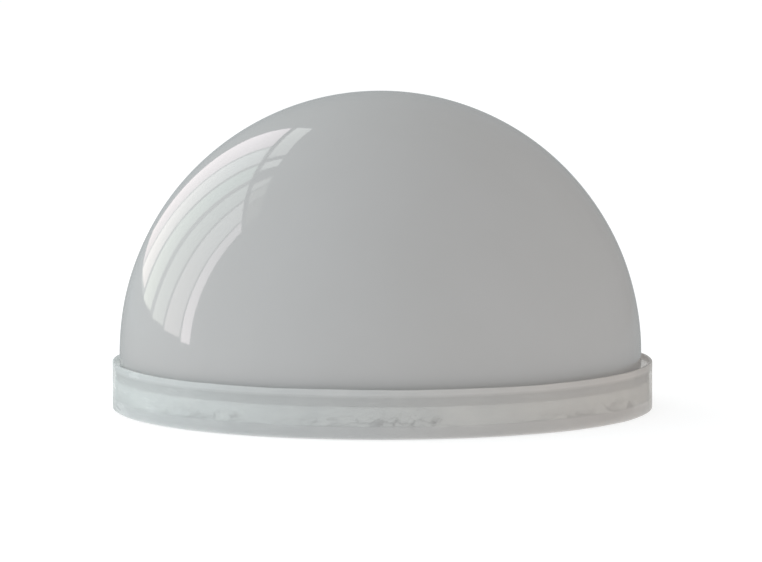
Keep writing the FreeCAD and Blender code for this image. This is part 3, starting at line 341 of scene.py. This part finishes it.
def turned(name, profile, steps, shift=None):
    """Closed ring or cup turned from a profile of (radius, z). A point at radius 0 becomes one shared tip."""
    points = []
    rows = []
    for r, z in profile:
        if r < 1e-9:
            rows.append([len(points)] * steps)
            points.append((0.0, 0.0, z))
            continue
        rows.append(list(range(len(points), len(points) + steps)))
        for i in range(steps):
            a = 2 * math.pi * i / steps
            dr, dz = shift(a, r, z) if shift else (0.0, 0.0)
            points.append(((r + dr) * math.cos(a), (r + dr) * math.sin(a), z + dz))
    faces = []
    for low, high in zip(rows, rows[1:] + rows[:1]):
        if low[0] == low[1] and high[0] == high[1]:
            continue
        for i in range(steps):
            j = (i + 1) % steps
            corners = [low[i], low[j], high[j], high[i]]
            faces.append(tuple(dict.fromkeys(corners)))
    return mesh_object(name, points, faces, smooth=True)


def sharpen(thing, degrees):
    thing.data.set_sharp_from_angle(angle=math.radians(degrees))


def cut_or_join(thing, tools, operation):
    """Boolean with a list of tool objects, which are then removed."""
    for tool in tools:
        change = thing.modifiers.new("boolean", "BOOLEAN")
        change.operation = operation
        change.solver = "MANIFOLD"
        change.object = tool
    bpy.context.view_layer.update()
    evaluated = thing.evaluated_get(bpy.context.evaluated_depsgraph_get())
    finished = bpy.data.meshes.new_from_object(evaluated)
    thing.modifiers.clear()
    thing.data = finished
    for tool in tools:
        bpy.data.objects.remove(tool)


def uneven_mould(a, r, z):
    """Slow swells of the mould, fading out to nothing on the flange and lip."""
    rise = max(0.0, min(1.0, (z - flange_top - 0.01) / 0.03))
    up = (z - equator) / dome_radius
    swell = math.sin(7 * a + 9 * up) + math.sin(11 * a - 14 * up + 1.3) + math.sin(17 * up + 3 * a + 0.7)
    return waver_height * rise * swell * r / dome_radius, 0.0


inner_radius = dome_radius - shell_wall
shell_profile = (
    arc(lip_outer - lip_rounding, shell_low.z + lip_rounding, lip_rounding, -90, 0, 4)
    + arc(lip_outer - lip_rounding, flange_top - lip_rounding, lip_rounding, 0, 90, 4)
    + arc(dome_radius + fillet, flange_top + fillet, fillet, 270, 180, 6)
    + [(dome_radius, flange_top + fillet + (equator - flange_top - fillet) * i / 6) for i in range(1, 6)]
    + arc(0.0, equator, dome_radius, 0, 90, 120)[:-1]
    + [(0.0, equator + dome_radius), (0.0, equator + inner_radius)]
    + arc(0.0, equator, inner_radius, 90, 0, 60)[1:]
    + [(inner_radius, flange_top - shell_wall), (lip_outer - shell_wall, flange_top - shell_wall)]
    + arc(lip_outer - shell_wall + lip_rounding, shell_low.z + lip_rounding, lip_rounding, 180, 270, 4)
)
shell = turned("radome_shell", shell_profile, 360, uneven_mould)


def rod(name, x, y, z0, z1, radius, steps=32):
    """Upright cylinder."""
    thing = turned(name, [(0, z0), (radius, z0), (radius, z1), (0, z1)], steps)
    thing.data.transform(Matrix.Translation((x, y, 0)))
    return thing


turns = [math.radians(22.5 + 45 * i) for i in range(closure_count)]
spots = [(closure_circle * math.cos(a), closure_circle * math.sin(a)) for a in turns]
bosses = [rod("boss", x, y, flange_top - shell_wall, boss_top, boss_radius) for x, y in spots]
wells = [rod("well", x, y, shell_low.z, insert_high.z + 0.0005, insert_radius) for x, y in spots]
cut_or_join(shell, bosses, "UNION")
cut_or_join(shell, wells, "DIFFERENCE")


def set_off_centre(thing):
    """The dome was bonded a little to one side of its collar. Bosses and lip stay where they are."""
    for vertex in thing.data.vertices:
        rise = max(0.0, min(1.0, (vertex.co.z - flange_top) / fillet))
        wall = math.hypot(vertex.co.x, vertex.co.y, vertex.co.z - equator) > inner_radius - 0.0004
        if rise > 0 and (wall or vertex.co.z > boss_top):
            vertex.co.x += bonded_off_centre * rise


set_off_centre(shell)
sharpen(shell, 35)
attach(shell, "radome")
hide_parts("radome_dome")


def group(name, inputs, outputs):
    """Empty node group. inputs are (name, default) and outputs are names; a tuple default makes a colour."""
    tree = bpy.data.node_groups.new(name, "ShaderNodeTree")
    for label, default in inputs:
        kind = "NodeSocketColor" if hasattr(default, "__len__") else "NodeSocketFloat"
        socket = tree.interface.new_socket(label, in_out="INPUT", socket_type=kind)
        socket.default_value = (*default, 1.0) if kind == "NodeSocketColor" else default
    for label in outputs:
        kind = "NodeSocketColor" if label == "Color" else "NodeSocketFloat"
        tree.interface.new_socket(label, in_out="OUTPUT", socket_type=kind)
    start = tree.nodes.new("NodeGroupInput")
    end = tree.nodes.new("NodeGroupOutput")
    return tree, start.outputs, end.inputs


def place(tree, used, **values):
    """Puts a node group in a material and returns its outputs. Names are given with _ for a space."""
    node = tree.nodes.new("ShaderNodeGroup")
    node.node_tree = used
    for name, value in values.items():
        socket = node.inputs[name.replace("_", " ")]
        if isinstance(value, bpy.types.NodeSocket):
            tree.links.new(value, socket)
        else:
            socket.default_value = (*value, 1.0) if hasattr(value, "__len__") else value
    return node.outputs


def make_tone():
    """Base colour with slow cloudy patches of a second colour, and fine specks of a third."""
    tree, given, out = group(
        "tone_patches",
        [("Color", (0.5, 0.5, 0.5)), ("Patch Color", (0.4, 0.4, 0.4)), ("Speck Color", (0.3, 0.3, 0.3)),
         ("Patch Size", 0.05), ("Patch Amount", 0.3), ("Speck Size", 0.002), ("Speck Amount", 0.0)],
        ["Color", "Patches"],
    )
    place_of = put(tree, "TexCoord").outputs["Object"]
    scale = math_of(tree, "DIVIDE", 1.0, given["Patch Size"])
    clouds = put(tree, "TexNoise", {"Vector": place_of, "Scale": scale, "Detail": 3.0, "Roughness": 0.55})
    patches = ramp(tree, clouds.outputs["Fac"], (0.38, 0.0), (0.66, 1.0))
    amount = math_of(tree, "MULTIPLY", patches, given["Patch Amount"])
    first = put(tree, "MixRGB", {"Fac": amount, "Color1": given["Color"], "Color2": given["Patch Color"]})
    speck_scale = math_of(tree, "DIVIDE", 1.0, given["Speck Size"])
    dots = put(tree, "TexNoise", {"Vector": place_of, "Scale": speck_scale, "Detail": 1.0}).outputs["Fac"]
    specks = math_of(tree, "MULTIPLY", ramp(tree, dots, (0.66, 0.0), (0.74, 1.0)), given["Speck Amount"])
    second = put(tree, "MixRGB", {"Fac": specks, "Color1": first.outputs[0], "Color2": given["Speck Color"]})
    tree.links.new(second.outputs[0], out["Color"])
    tree.links.new(patches, out["Patches"])
    return tree


def make_scuffs():
    """Mask of soft rub marks, drawn out level, and a few hair scratches."""
    tree, given, out = group("scuffs", [("Size", 0.03), ("Amount", 0.5), ("Flatness", 5.0), ("Hairs", 0.4)], ["Mask"])
    place_of = put(tree, "TexCoord").outputs["Object"]
    stretch = put(tree, "CombineXYZ", {"X": 1.0, "Y": 1.0, "Z": given["Flatness"]}).outputs[0]
    flat = put(tree, "VectorMath", {0: place_of, 1: stretch}, operation="MULTIPLY").outputs[0]
    scale = math_of(tree, "DIVIDE", 1.0, given["Size"])
    rubs = put(tree, "TexNoise", {"Vector": flat, "Scale": scale, "Detail": 4.0, "Roughness": 0.6}).outputs["Fac"]
    rub_mask = ramp(tree, rubs, (0.50, 0.0), (0.78, 1.0))
    thin = put(tree, "VectorMath", {0: flat, 1: (1.0, 1.0, 3.0)}, operation="MULTIPLY").outputs[0]
    fine_scale = math_of(tree, "MULTIPLY", scale, 2.5)
    hairs = put(tree, "TexNoise", {"Vector": thin, "Scale": fine_scale, "Detail": 3.0, "Distortion": 0.3}).outputs["Fac"]
    hair_mask = math_of(tree, "MULTIPLY", ramp(tree, hairs, (0.62, 0.0), (0.70, 1.0)), given["Hairs"])
    both = math_of(tree, "MAXIMUM", rub_mask, hair_mask)
    tree.links.new(math_of(tree, "MULTIPLY", both, given["Amount"], clamp=True), out["Mask"])
    return tree


tone_patches = make_tone()
scuffs = make_scuffs()


def milky_shell():
    """Gloss milky moulding: faint clouds in the colour, polished skin with a few dull rubs."""
    material, tree = new_material("milky_shell")
    tone = place(tree, tone_patches, Color=(0.420, 0.413, 0.409), Patch_Color=(0.408, 0.401, 0.395),
                 Speck_Color=(0.36, 0.35, 0.34), Patch_Size=0.09, Patch_Amount=0.6, Speck_Size=0.0012, Speck_Amount=0.10)
    rubbed = place(tree, scuffs, Size=0.06, Amount=1.0, Flatness=1.5, Hairs=0.5)["Mask"]
    rough = math_of(tree, "MULTIPLY_ADD", rubbed, 0.07, 0.03)
    skin = put(tree, "BsdfPrincipled", {
        "Base Color": tone["Color"], "Roughness": rough, "IOR": 1.49,
    })
    put(tree, "OutputMaterial", {"Surface": skin.outputs[0]})
    return material


wear(shell, milky_shell())

# ================================================================ threaded inserts
# Eight brass inserts, turned and pressed into the bosses flush with their ends. The captive screws of the
# base run in them.


def turned_brass():
    material, tree = new_material("turned_brass")
    tone = place(tree, tone_patches, Color=(0.62, 0.43, 0.16), Patch_Color=(0.48, 0.32, 0.12),
                 Patch_Size=0.006, Patch_Amount=0.5)
    rings = put(tree, "TexWave", {"Scale": 900.0, "Distortion": 0.4}, bands_direction="Z").outputs["Fac"]
    bump = put(tree, "Bump", {"Height": rings, "Strength": 0.15, "Distance": 0.0002})
    skin = put(tree, "BsdfPrincipled", {"Base Color": tone["Color"], "Metallic": 1.0, "Roughness": 0.28,
                                        "Normal": bump.outputs[0]})
    put(tree, "OutputMaterial", {"Surface": skin.outputs[0]})
    return material


brass = turned_brass()
wear(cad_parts["radome_inserts"], brass)

# ================================================================ collar hoop
# Strip of translucent sheet, 2.5 mm thick, bent into a hoop and bonded round the lip. Its edges were cut
# and scraped by hand, so they wander a little, and its outside has rub marks from handling. Painted light:
# its left end is lightened as a backlit glow, and its colour runs cool to the left and warm to the right.

hoop_low, hoop_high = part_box("collar_band")
hoop_outer = (hoop_high.x - hoop_low.x) / 2
hoop_wall = 0.0025
hoop_edge = 0.0006
hoop_wander = 0.0004
scraped_from = 0.0045
scraped_to = 0.0075


def hand_cut(a, r, z):
    """Slight wander of the two cut edges."""
    top = max(0.0, (z - hoop_high.z + 0.006) / 0.006)
    bottom = max(0.0, (hoop_low.z + 0.006 - z) / 0.006)
    top_wander = math.sin(5 * a + 0.4) + 0.6 * math.sin(13 * a + 2.0) + 0.25 * math.sin(37 * a)
    bottom_wander = math.sin(4 * a + 1.1) + 0.6 * math.sin(17 * a + 0.3) + 0.25 * math.sin(41 * a)
    return 0.0, -hoop_wander * top * (1 + 0.5 * top_wander) + hoop_wander * bottom * (1 + 0.5 * bottom_wander)


hoop_inner = hoop_outer - hoop_wall
outer_z = [hoop_low.z + hoop_edge + (hoop_high.z - hoop_low.z - 2 * hoop_edge) * i / 12 for i in range(1, 12)]
hoop_profile = (
    arc(hoop_outer - hoop_edge, hoop_low.z + hoop_edge, hoop_edge, -90, 0, 4)
    + [(hoop_outer, z) for z in outer_z]
    + arc(hoop_outer - hoop_edge, hoop_high.z - hoop_edge, hoop_edge, 0, 90, 4)
    + arc(hoop_inner + hoop_edge, hoop_high.z - hoop_edge, hoop_edge, 90, 180, 4)
    + [(hoop_inner, z) for z in reversed(outer_z)]
    + arc(hoop_inner + hoop_edge, hoop_low.z + hoop_edge, hoop_edge, 180, 270, 4)
)
hoop = turned("collar_hoop", hoop_profile, 360, hand_cut)
sharpen(hoop, 60)
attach(hoop, "radome")
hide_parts("collar_band")


def frosted_hoop():
    """Translucent sheet: part milky skin, part clear, and clearer still to the light that comes through it. The left
    end is painted lighter as a backlit glow, and the colour painted cool to the left and warm to the right.
    """
    material, tree = new_material("frosted_hoop")
    tone = place(tree, tone_patches, Color=(0.775, 0.765, 0.75), Patch_Color=(0.735, 0.73, 0.72),
                 Patch_Size=0.035, Patch_Amount=0.7)
    rubs = place(tree, scuffs, Size=0.060, Amount=1.0, Flatness=6.0, Hairs=0.2)["Mask"]
    spot = put(tree, "SeparateXYZ", {"Vector": put(tree, "TexCoord").outputs["Object"]}).outputs
    side = spot["X"]
    scraped = put(tree, "MapRange", {"Value": spot["Z"], "From Min": hoop_high.z - scraped_to,
                                     "From Max": hoop_high.z - scraped_from}).outputs[0]
    # Mask of the left end: it gathers the real rub marks there, and also paints that end lighter as a painted backlit
    # glow.
    handled_and_backlit_left = put(tree, "MapRange", {"Value": side, "From Min": -0.13, "From Max": -0.235}).outputs[0]
    marks = math_of(tree, "MULTIPLY", rubs, math_of(tree, "MULTIPLY_ADD", handled_and_backlit_left, 0.85, 0.15), clamp=True)
    # Whitening: painted light on the left end, plus real whitening in the rub marks.
    whiter = math_of(tree, "MULTIPLY_ADD", handled_and_backlit_left, 0.20, math_of(tree, "MULTIPLY", marks, 0.35), clamp=True)
    # Painted light: the colour is tinted cool on the left and warm on the right, like the room's light.
    painted_light_tint_across = put(tree, "MapRange", {"Value": side, "From Min": -0.20, "From Max": 0.20}).outputs[0]
    tint = ramp(tree, painted_light_tint_across, (0.0, (0.95, 0.985, 1.0)), (0.45, (0.985, 0.99, 1.0)), (1.0, (1.0, 0.96, 0.94)))
    tinted = put(tree, "MixRGB", {"Fac": 1.0, "Color1": tone["Color"], "Color2": tint}, blend_type="MULTIPLY").outputs[0]
    colour = put(tree, "MixRGB", {"Fac": whiter, "Color1": tinted, "Color2": (0.93, 0.95, 0.94, 1)}).outputs[0]
    rough = math_of(tree, "MULTIPLY_ADD", marks, 0.25, 0.22)
    skin = put(tree, "BsdfPrincipled", {"Base Color": colour, "Roughness": rough, "IOR": 1.46})
    through = put(tree, "BsdfTranslucent", {"Color": colour})
    milk = put(tree, "MixShader", {0: 0.45, 1: skin.outputs[0], 2: through.outputs[0]})
    clear = put(tree, "BsdfTransparent", {"Color": (0.97, 0.975, 0.97, 1)})
    path_of = put(tree, "LightPath")
    passing = math_of(tree, "MULTIPLY_ADD", path_of.outputs["Is Shadow Ray"], 0.34, 0.50)
    undercut = put(tree, "MapRange", {"Value": spot["Z"], "From Min": shell_low.z,
                                      "From Max": shell_low.z - 0.002}).outputs[0]
    passing = math_of(tree, "MULTIPLY_ADD", scraped, -0.30, passing)
    passing = math_of(tree, "MULTIPLY_ADD", undercut, -0.16, passing)
    blocked = math_of(tree, "MULTIPLY_ADD", whiter, -0.3, passing, clamp=True)
    surface = put(tree, "MixShader", {0: blocked, 1: milk.outputs[0], 2: clear.outputs[0]})
    put(tree, "OutputMaterial", {"Surface": surface.outputs[0]})
    return material


wear(hoop, frosted_hoop())

# ================================================================ bond
# Clear adhesive between the lip and the hoop. It squeezed out under the lip as an uneven bead with drips.

bond_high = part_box("collar_bond")[1]
bond_gap = 0.001
bond_top = bond_high.z - 0.0022
bead_reach = 0.0028
bond_play = 0.00004
voids_top = 0.0095
voids_full = 0.003


def squeezed(a):
    """How far the bead swells at angle a, from 0 to 1."""
    slow = math.sin(9 * a + 0.5) + 0.8 * math.sin(23 * a + 1.9) + 0.6 * math.sin(41 * a + 0.2)
    drips = sum(math.exp(-((math.degrees(a) - d + 180) % 360 - 180) ** 2 / 2.5) for d in range(3, 360, 19))
    return max(0.0, min(1.0, 0.34 + 0.16 * slow + 0.55 * drips))


def bead_shift(a, r, z):
    under = max(0.0, min(1.0, (shell_low.z - z) / bead_reach))
    return 0.0, under * bead_reach * (1 - squeezed(a))


bond_inner = hoop_inner - bond_gap
bond_profile = [(bond_inner + bond_play, bond_top + (shell_low.z - bond_top) * i / 10) for i in range(10)]
bond_profile += [(bond_inner + bond_play, shell_low.z - bond_play), (hoop_inner - bead_reach, shell_low.z - bond_play)]
bond_profile += arc(hoop_inner - bead_reach, shell_low.z - bond_play - bead_reach, bead_reach, 85, 15, 6)
bond_profile += [(hoop_inner - bond_play, shell_low.z - bead_reach), (hoop_inner - bond_play, bond_top)]
bond = turned("bond_bead", bond_profile, 1080, bead_shift)
sharpen(bond, 60)
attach(bond, "radome")
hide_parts("collar_bond")


def cured_adhesive():
    """Glassy cream adhesive with trapped voids along its lower edge, small bubbles and thin patches."""
    material, tree = new_material("cured_adhesive")
    place_of = put(tree, "TexCoord").outputs["Object"]
    bent = put(tree, "VectorMath", {0: place_of, 1: (1.0, 1.0, 2.2)}, operation="MULTIPLY").outputs[0]
    wander = put(tree, "TexNoise", {"Vector": place_of, "Scale": 70.0, "Detail": 2.0}).outputs["Color"]
    bent = put(tree, "MixRGB", {"Fac": 0.02, "Color1": bent, "Color2": wander}, blend_type="ADD").outputs[0]
    voids = put(tree, "TexVoronoi", {"Vector": bent, "Scale": 62.0}, feature="DISTANCE_TO_EDGE").outputs["Distance"]
    rims = ramp(tree, voids, (0.02, 0.22), (0.08, 1.0))
    height = put(tree, "SeparateXYZ", {"Vector": place_of}).outputs["Z"]
    low_part = put(tree, "MapRange", {"Value": height, "From Min": shell_low.z + voids_top,
                                      "From Max": shell_low.z + voids_full}).outputs[0]
    patchy = put(tree, "TexNoise", {"Vector": place_of, "Scale": 16.0, "Detail": 1.0}).outputs["Fac"]
    where = math_of(tree, "MULTIPLY", low_part, ramp(tree, patchy, (0.42, 0.0), (0.52, 1.0)))
    tone = place(tree, tone_patches, Color=(0.78, 0.78, 0.765), Patch_Color=(0.66, 0.67, 0.67),
                 Patch_Size=0.022, Patch_Amount=0.8)
    colour = put(tree, "MixRGB", {"Fac": where, "Color1": tone["Color"], "Color2": rims}, blend_type="MULTIPLY").outputs[0]
    skin = put(tree, "BsdfPrincipled", {"Base Color": colour, "Roughness": 0.12, "IOR": 1.5})
    put(tree, "OutputMaterial", {"Surface": skin.outputs[0]})
    return material


wear(bond, cured_adhesive())

# ================================================================ base
# Aluminium pan in three pieces: spun rim with its sealing land, cast floor with ribs and pads, and cast plug
# bay. They are welded together, blasted and powder coated, and the coat is rubbed where it is handled.

coat_colour = (0.74, 0.735, 0.725)


def make_grain():
    """Height of a fine texture: noise of one size, drawn out along each axis whose stretch is under 1."""
    tree, given, out = group(
        "grain", [("Size", 0.001), ("Stretch X", 1.0), ("Stretch Y", 1.0), ("Stretch Z", 1.0), ("Detail", 2.0)], ["Height"]
    )
    place_of = put(tree, "TexCoord").outputs["Object"]
    stretch = put(tree, "CombineXYZ", {axis: given["Stretch " + axis] for axis in "XYZ"}).outputs[0]
    drawn = put(tree, "VectorMath", {0: place_of, 1: stretch}, operation="MULTIPLY").outputs[0]
    scale = math_of(tree, "DIVIDE", 1.0, given["Size"])
    noise = put(tree, "TexNoise", {"Vector": drawn, "Scale": scale, "Detail": given["Detail"]}).outputs["Fac"]
    tree.links.new(noise, out["Height"])
    return tree


grain = make_grain()


def surface(name, colour, patch, rough, metal=0.0, patch_size=0.03, patch_amount=0.5, speck=0.0, worn=0.12,
            rub_size=0.04, grain_size=0.001, stretch=(1.0, 1.0, 1.0), depth=0.0):
    """Clouded colour, roughness raised by worn in the rub marks, and a fine texture of the given depth."""
    material, tree = new_material(name)
    tone = place(tree, tone_patches, Color=colour, Patch_Color=patch, Speck_Color=tuple(0.6 * c for c in patch),
                 Patch_Size=patch_size, Patch_Amount=patch_amount, Speck_Size=0.0015, Speck_Amount=speck)
    rubs = place(tree, scuffs, Size=rub_size, Amount=1.0, Flatness=1.5, Hairs=0.6)["Mask"]
    height = place(tree, grain, Size=grain_size, Stretch_X=stretch[0], Stretch_Y=stretch[1], Stretch_Z=stretch[2],
                   Detail=2.0)["Height"]
    bump = put(tree, "Bump", {"Height": height, "Strength": 1.0, "Distance": depth})
    skin = put(tree, "BsdfPrincipled", {
        "Base Color": tone["Color"], "Metallic": metal, "Roughness": math_of(tree, "MULTIPLY_ADD", rubs, worn, rough),
        "IOR": 1.5, "Normal": bump.outputs[0],
    })
    put(tree, "OutputMaterial", {"Surface": skin.outputs[0]})
    return material


def wear_nodes(material, *nodes):
    """Gives CAD nodes one material."""
    for node in nodes:
        wear(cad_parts[node], material)


powder_coat = surface("powder_coat", coat_colour, (0.68, 0.675, 0.665), 0.42, speck=0.04,
                      grain_size=0.0016, depth=0.00006)
wear_nodes(powder_coat, "base_rim", "base_floor", "plug_bay")

# ================================================================ seals and closure
# Flat rubber ring on the pan's land, moulded and slightly bloomed, with a rubber washer under each captive
# screw and under each socket's flange. Eight stainless socket-head screws pull the radome down on the ring.

bloomed_rubber = surface("bloomed_rubber", (0.030, 0.030, 0.030), (0.055, 0.054, 0.052), 0.62, patch_size=0.012,
                         patch_amount=0.7, worn=0.15, grain_size=0.0008, depth=0.00008)
wear_nodes(bloomed_rubber, "base_gasket", "screw_seals", "socket_seals")

turned_stainless = surface("turned_stainless", (0.60, 0.60, 0.61), (0.50, 0.50, 0.51), 0.24, metal=1.0,
                           patch_size=0.006, rub_size=0.01, grain_size=0.0012, stretch=(0.2, 0.2, 3.0), depth=0.00003)
wear_nodes(turned_stainless, "radome_screws")

# ================================================================ underside fittings
# Stainless threaded inserts in the pads and an earthing stud, all turned. A moulded nylon breather screws
# into the floor. The power socket is glass-filled nylon, the network socket turned alloy, nuts zinc plated.

moulded_nylon = surface("moulded_nylon", (0.040, 0.040, 0.045), (0.065, 0.065, 0.066), 0.48, patch_size=0.01,
                        speck=0.3, worn=0.18, rub_size=0.012, grain_size=0.0007, depth=0.00005)
turned_alloy = surface("turned_alloy", (0.74, 0.74, 0.75), (0.64, 0.64, 0.655), 0.27, metal=1.0, patch_size=0.008,
                       rub_size=0.012, grain_size=0.0012, stretch=(0.2, 0.2, 3.0), depth=0.00003)
zinc_plate = surface("zinc_plate", (0.62, 0.625, 0.60), (0.50, 0.53, 0.56), 0.26, metal=1.0, patch_size=0.005,
                     patch_amount=0.8, speck=0.15, rub_size=0.008, grain_size=0.0006, depth=0.00002)
wear_nodes(turned_stainless, "mount_inserts", "ground_stud")
wear_nodes(moulded_nylon, "breather_vent", "power_socket")
wear_nodes(turned_alloy, "network_socket")
wear_nodes(zinc_plate, "socket_nuts")

# ================================================================ pedestal and bearings
# Cast alloy pedestal, blasted grey and left bare, bolted to the floor with plated screws. It holds two
# ground steel ball bearings under a spring clip. The stainless spindle runs in them with spacer and nut.

blasted_casting = surface("blasted_casting", (0.50, 0.51, 0.52), (0.42, 0.43, 0.44), 0.50, metal=0.85,
                          patch_size=0.02, speck=0.4, grain_size=0.0011, depth=0.00016)
ground_steel = surface("ground_steel", (0.52, 0.53, 0.54), (0.44, 0.45, 0.46), 0.16, metal=1.0, patch_size=0.008,
                       worn=0.10, rub_size=0.006, grain_size=0.0009, stretch=(0.15, 0.15, 4.0), depth=0.00001)
wear_nodes(blasted_casting, "pedestal")
wear_nodes(zinc_plate, "pedestal_screws", "bearing_circlip", "spindle_nut")
wear_nodes(ground_steel, "bearing_outers", "bearing_inners", "lower_bearing_balls", "upper_bearing_balls")
wear_nodes(turned_alloy, "bearing_spacer")
wear_nodes(turned_stainless, "spindle")

# ================================================================ chassis and drive
# Sheet alloy plate, brushed along its length, on plated hexagon posts. The stepper motor has a varnished
# laminated stack between two cast bells. Its plated pinion turns a moulded acetal gear on the spindle.

brushed_sheet = surface("brushed_sheet", (0.70, 0.71, 0.72), (0.62, 0.63, 0.64), 0.30, metal=1.0, patch_size=0.05,
                        grain_size=0.0011, stretch=(0.03, 1.0, 1.0), depth=0.00006)
laminations = surface("laminations", (0.070, 0.070, 0.078), (0.11, 0.10, 0.095), 0.38, metal=0.4, patch_size=0.012,
                      grain_size=0.0007, stretch=(0.02, 0.02, 1.0), depth=0.0003)
moulded_acetal = surface("moulded_acetal", (0.74, 0.73, 0.69), (0.69, 0.67, 0.62), 0.34, patch_size=0.02,
                         speck=0.03, worn=0.14, grain_size=0.0014, depth=0.00003)
nickel_plate = surface("nickel_plate", (0.70, 0.68, 0.64), (0.60, 0.58, 0.54), 0.14, metal=1.0, patch_size=0.005,
                       rub_size=0.006, grain_size=0.0008, depth=0.00001)
wear_nodes(brushed_sheet, "chassis_plate")
wear_nodes(zinc_plate, "chassis_posts", "chassis_screws", "motor_screws", "gear_screws", "drive_pinion")
wear_nodes(laminations, "motor_stator")
wear_nodes(blasted_casting, "motor_end_bells")
wear_nodes(ground_steel, "motor_shaft")
wear_nodes(moulded_acetal, "drive_gear")
wear_nodes(nickel_plate, "heading_magnet")
wear_nodes(moulded_nylon, "heading_sensor")

# ================================================================ transceiver and boards
# Cast screening case with a cast lid held by plated screws, over the radio board. The control board stands
# on brass posts. Both are green glass laminate with tracks under the mask, and carry black moulded parts.

wear_nodes(blasted_casting, "transceiver_case", "transceiver_lid")
wear_nodes(zinc_plate, "transceiver_screws", "board_screws")
wear_nodes(moulded_nylon, "board_parts")
wear_nodes(brass, "board_standoffs")

track_pitch = 0.0032
mask_green = (0.020, 0.130, 0.055)
track_green = (0.040, 0.230, 0.095)
mask_roughness = 0.28


def printed_board():
    """Solder mask over tracks that run in stepped lanes, with a tinned dot where some lanes end."""
    material, tree = new_material("printed_board")
    place_of = put(tree, "TexCoord").outputs["Object"]
    cells = put(tree, "TexVoronoi", {"Vector": place_of, "Scale": 0.34 / track_pitch, "Randomness": 0.35},
                distance="CHEBYCHEV", feature="F1")
    lanes = ramp(tree, cells.outputs["Distance"], (0.34, 0.0), (0.36, 1.0), (0.44, 1.0), (0.46, 0.0))
    pads = ramp(tree, cells.outputs["Distance"], (0.07, 1.0), (0.09, 0.0))
    tone = place(tree, tone_patches, Color=mask_green, Patch_Color=(0.014, 0.10, 0.042),
                 Patch_Size=0.02, Patch_Amount=0.5)
    tracked = put(tree, "MixRGB", {"Fac": lanes, "Color1": tone["Color"], "Color2": (*track_green, 1)}).outputs[0]
    tinned = put(tree, "MixRGB", {"Fac": pads, "Color1": tracked, "Color2": (0.66, 0.66, 0.64, 1)}).outputs[0]
    bump = put(tree, "Bump", {"Height": lanes, "Strength": 0.6, "Distance": 0.00004})
    skin = put(tree, "BsdfPrincipled", {"Base Color": tinned, "Metallic": pads, "Roughness": mask_roughness,
                                        "Normal": bump.outputs[0]})
    put(tree, "OutputMaterial", {"Surface": skin.outputs[0]})
    return material


board_green = printed_board()
wear_nodes(board_green, "rf_board", "control_board")

# ================================================================ leads and rotary joint
# Extruded sheaths, black for power and motor and grey for the network lead, and a formed brass coax line.
# The rotary joint's two halves are turned from brass, with the feed line rising from the upper one.

black_sheath = surface("black_sheath", (0.020, 0.020, 0.021), (0.034, 0.033, 0.032), 0.45, patch_size=0.01,
                       worn=0.16, rub_size=0.01, grain_size=0.0009, depth=0.00004)
grey_sheath = surface("grey_sheath", (0.25, 0.26, 0.27), (0.21, 0.22, 0.23), 0.46, patch_size=0.01, speck=0.10,
                      worn=0.16, rub_size=0.01, grain_size=0.0009, depth=0.00004)
wear_nodes(black_sheath, "power_lead", "motor_lead")
wear_nodes(grey_sheath, "network_lead")
wear_nodes(brass, "coax_jumper", "rotary_joint_stator", "rotary_joint_rotor", "feed_line")

# ================================================================ radiator
# Slotted array: a folded sheet channel with a printed feed board, closed by a thermoformed grey cover and
# moulded nylon end caps. A cast bracket carries it on the spindle, with four plated screws.

formed_cover = surface("formed_cover", (0.60, 0.61, 0.62), (0.55, 0.56, 0.57), 0.36, patch_size=0.04, speck=0.06,
                       worn=0.14, grain_size=0.0022, depth=0.00005)
wear_nodes(brushed_sheet, "radiator_channel")
wear_nodes(board_green, "radiator_board")
wear_nodes(formed_cover, "radiator_cover")
wear_nodes(moulded_nylon, "radiator_end_caps")
wear_nodes(blasted_casting, "radiator_bracket")
wear_nodes(zinc_plate, "radiator_screws")
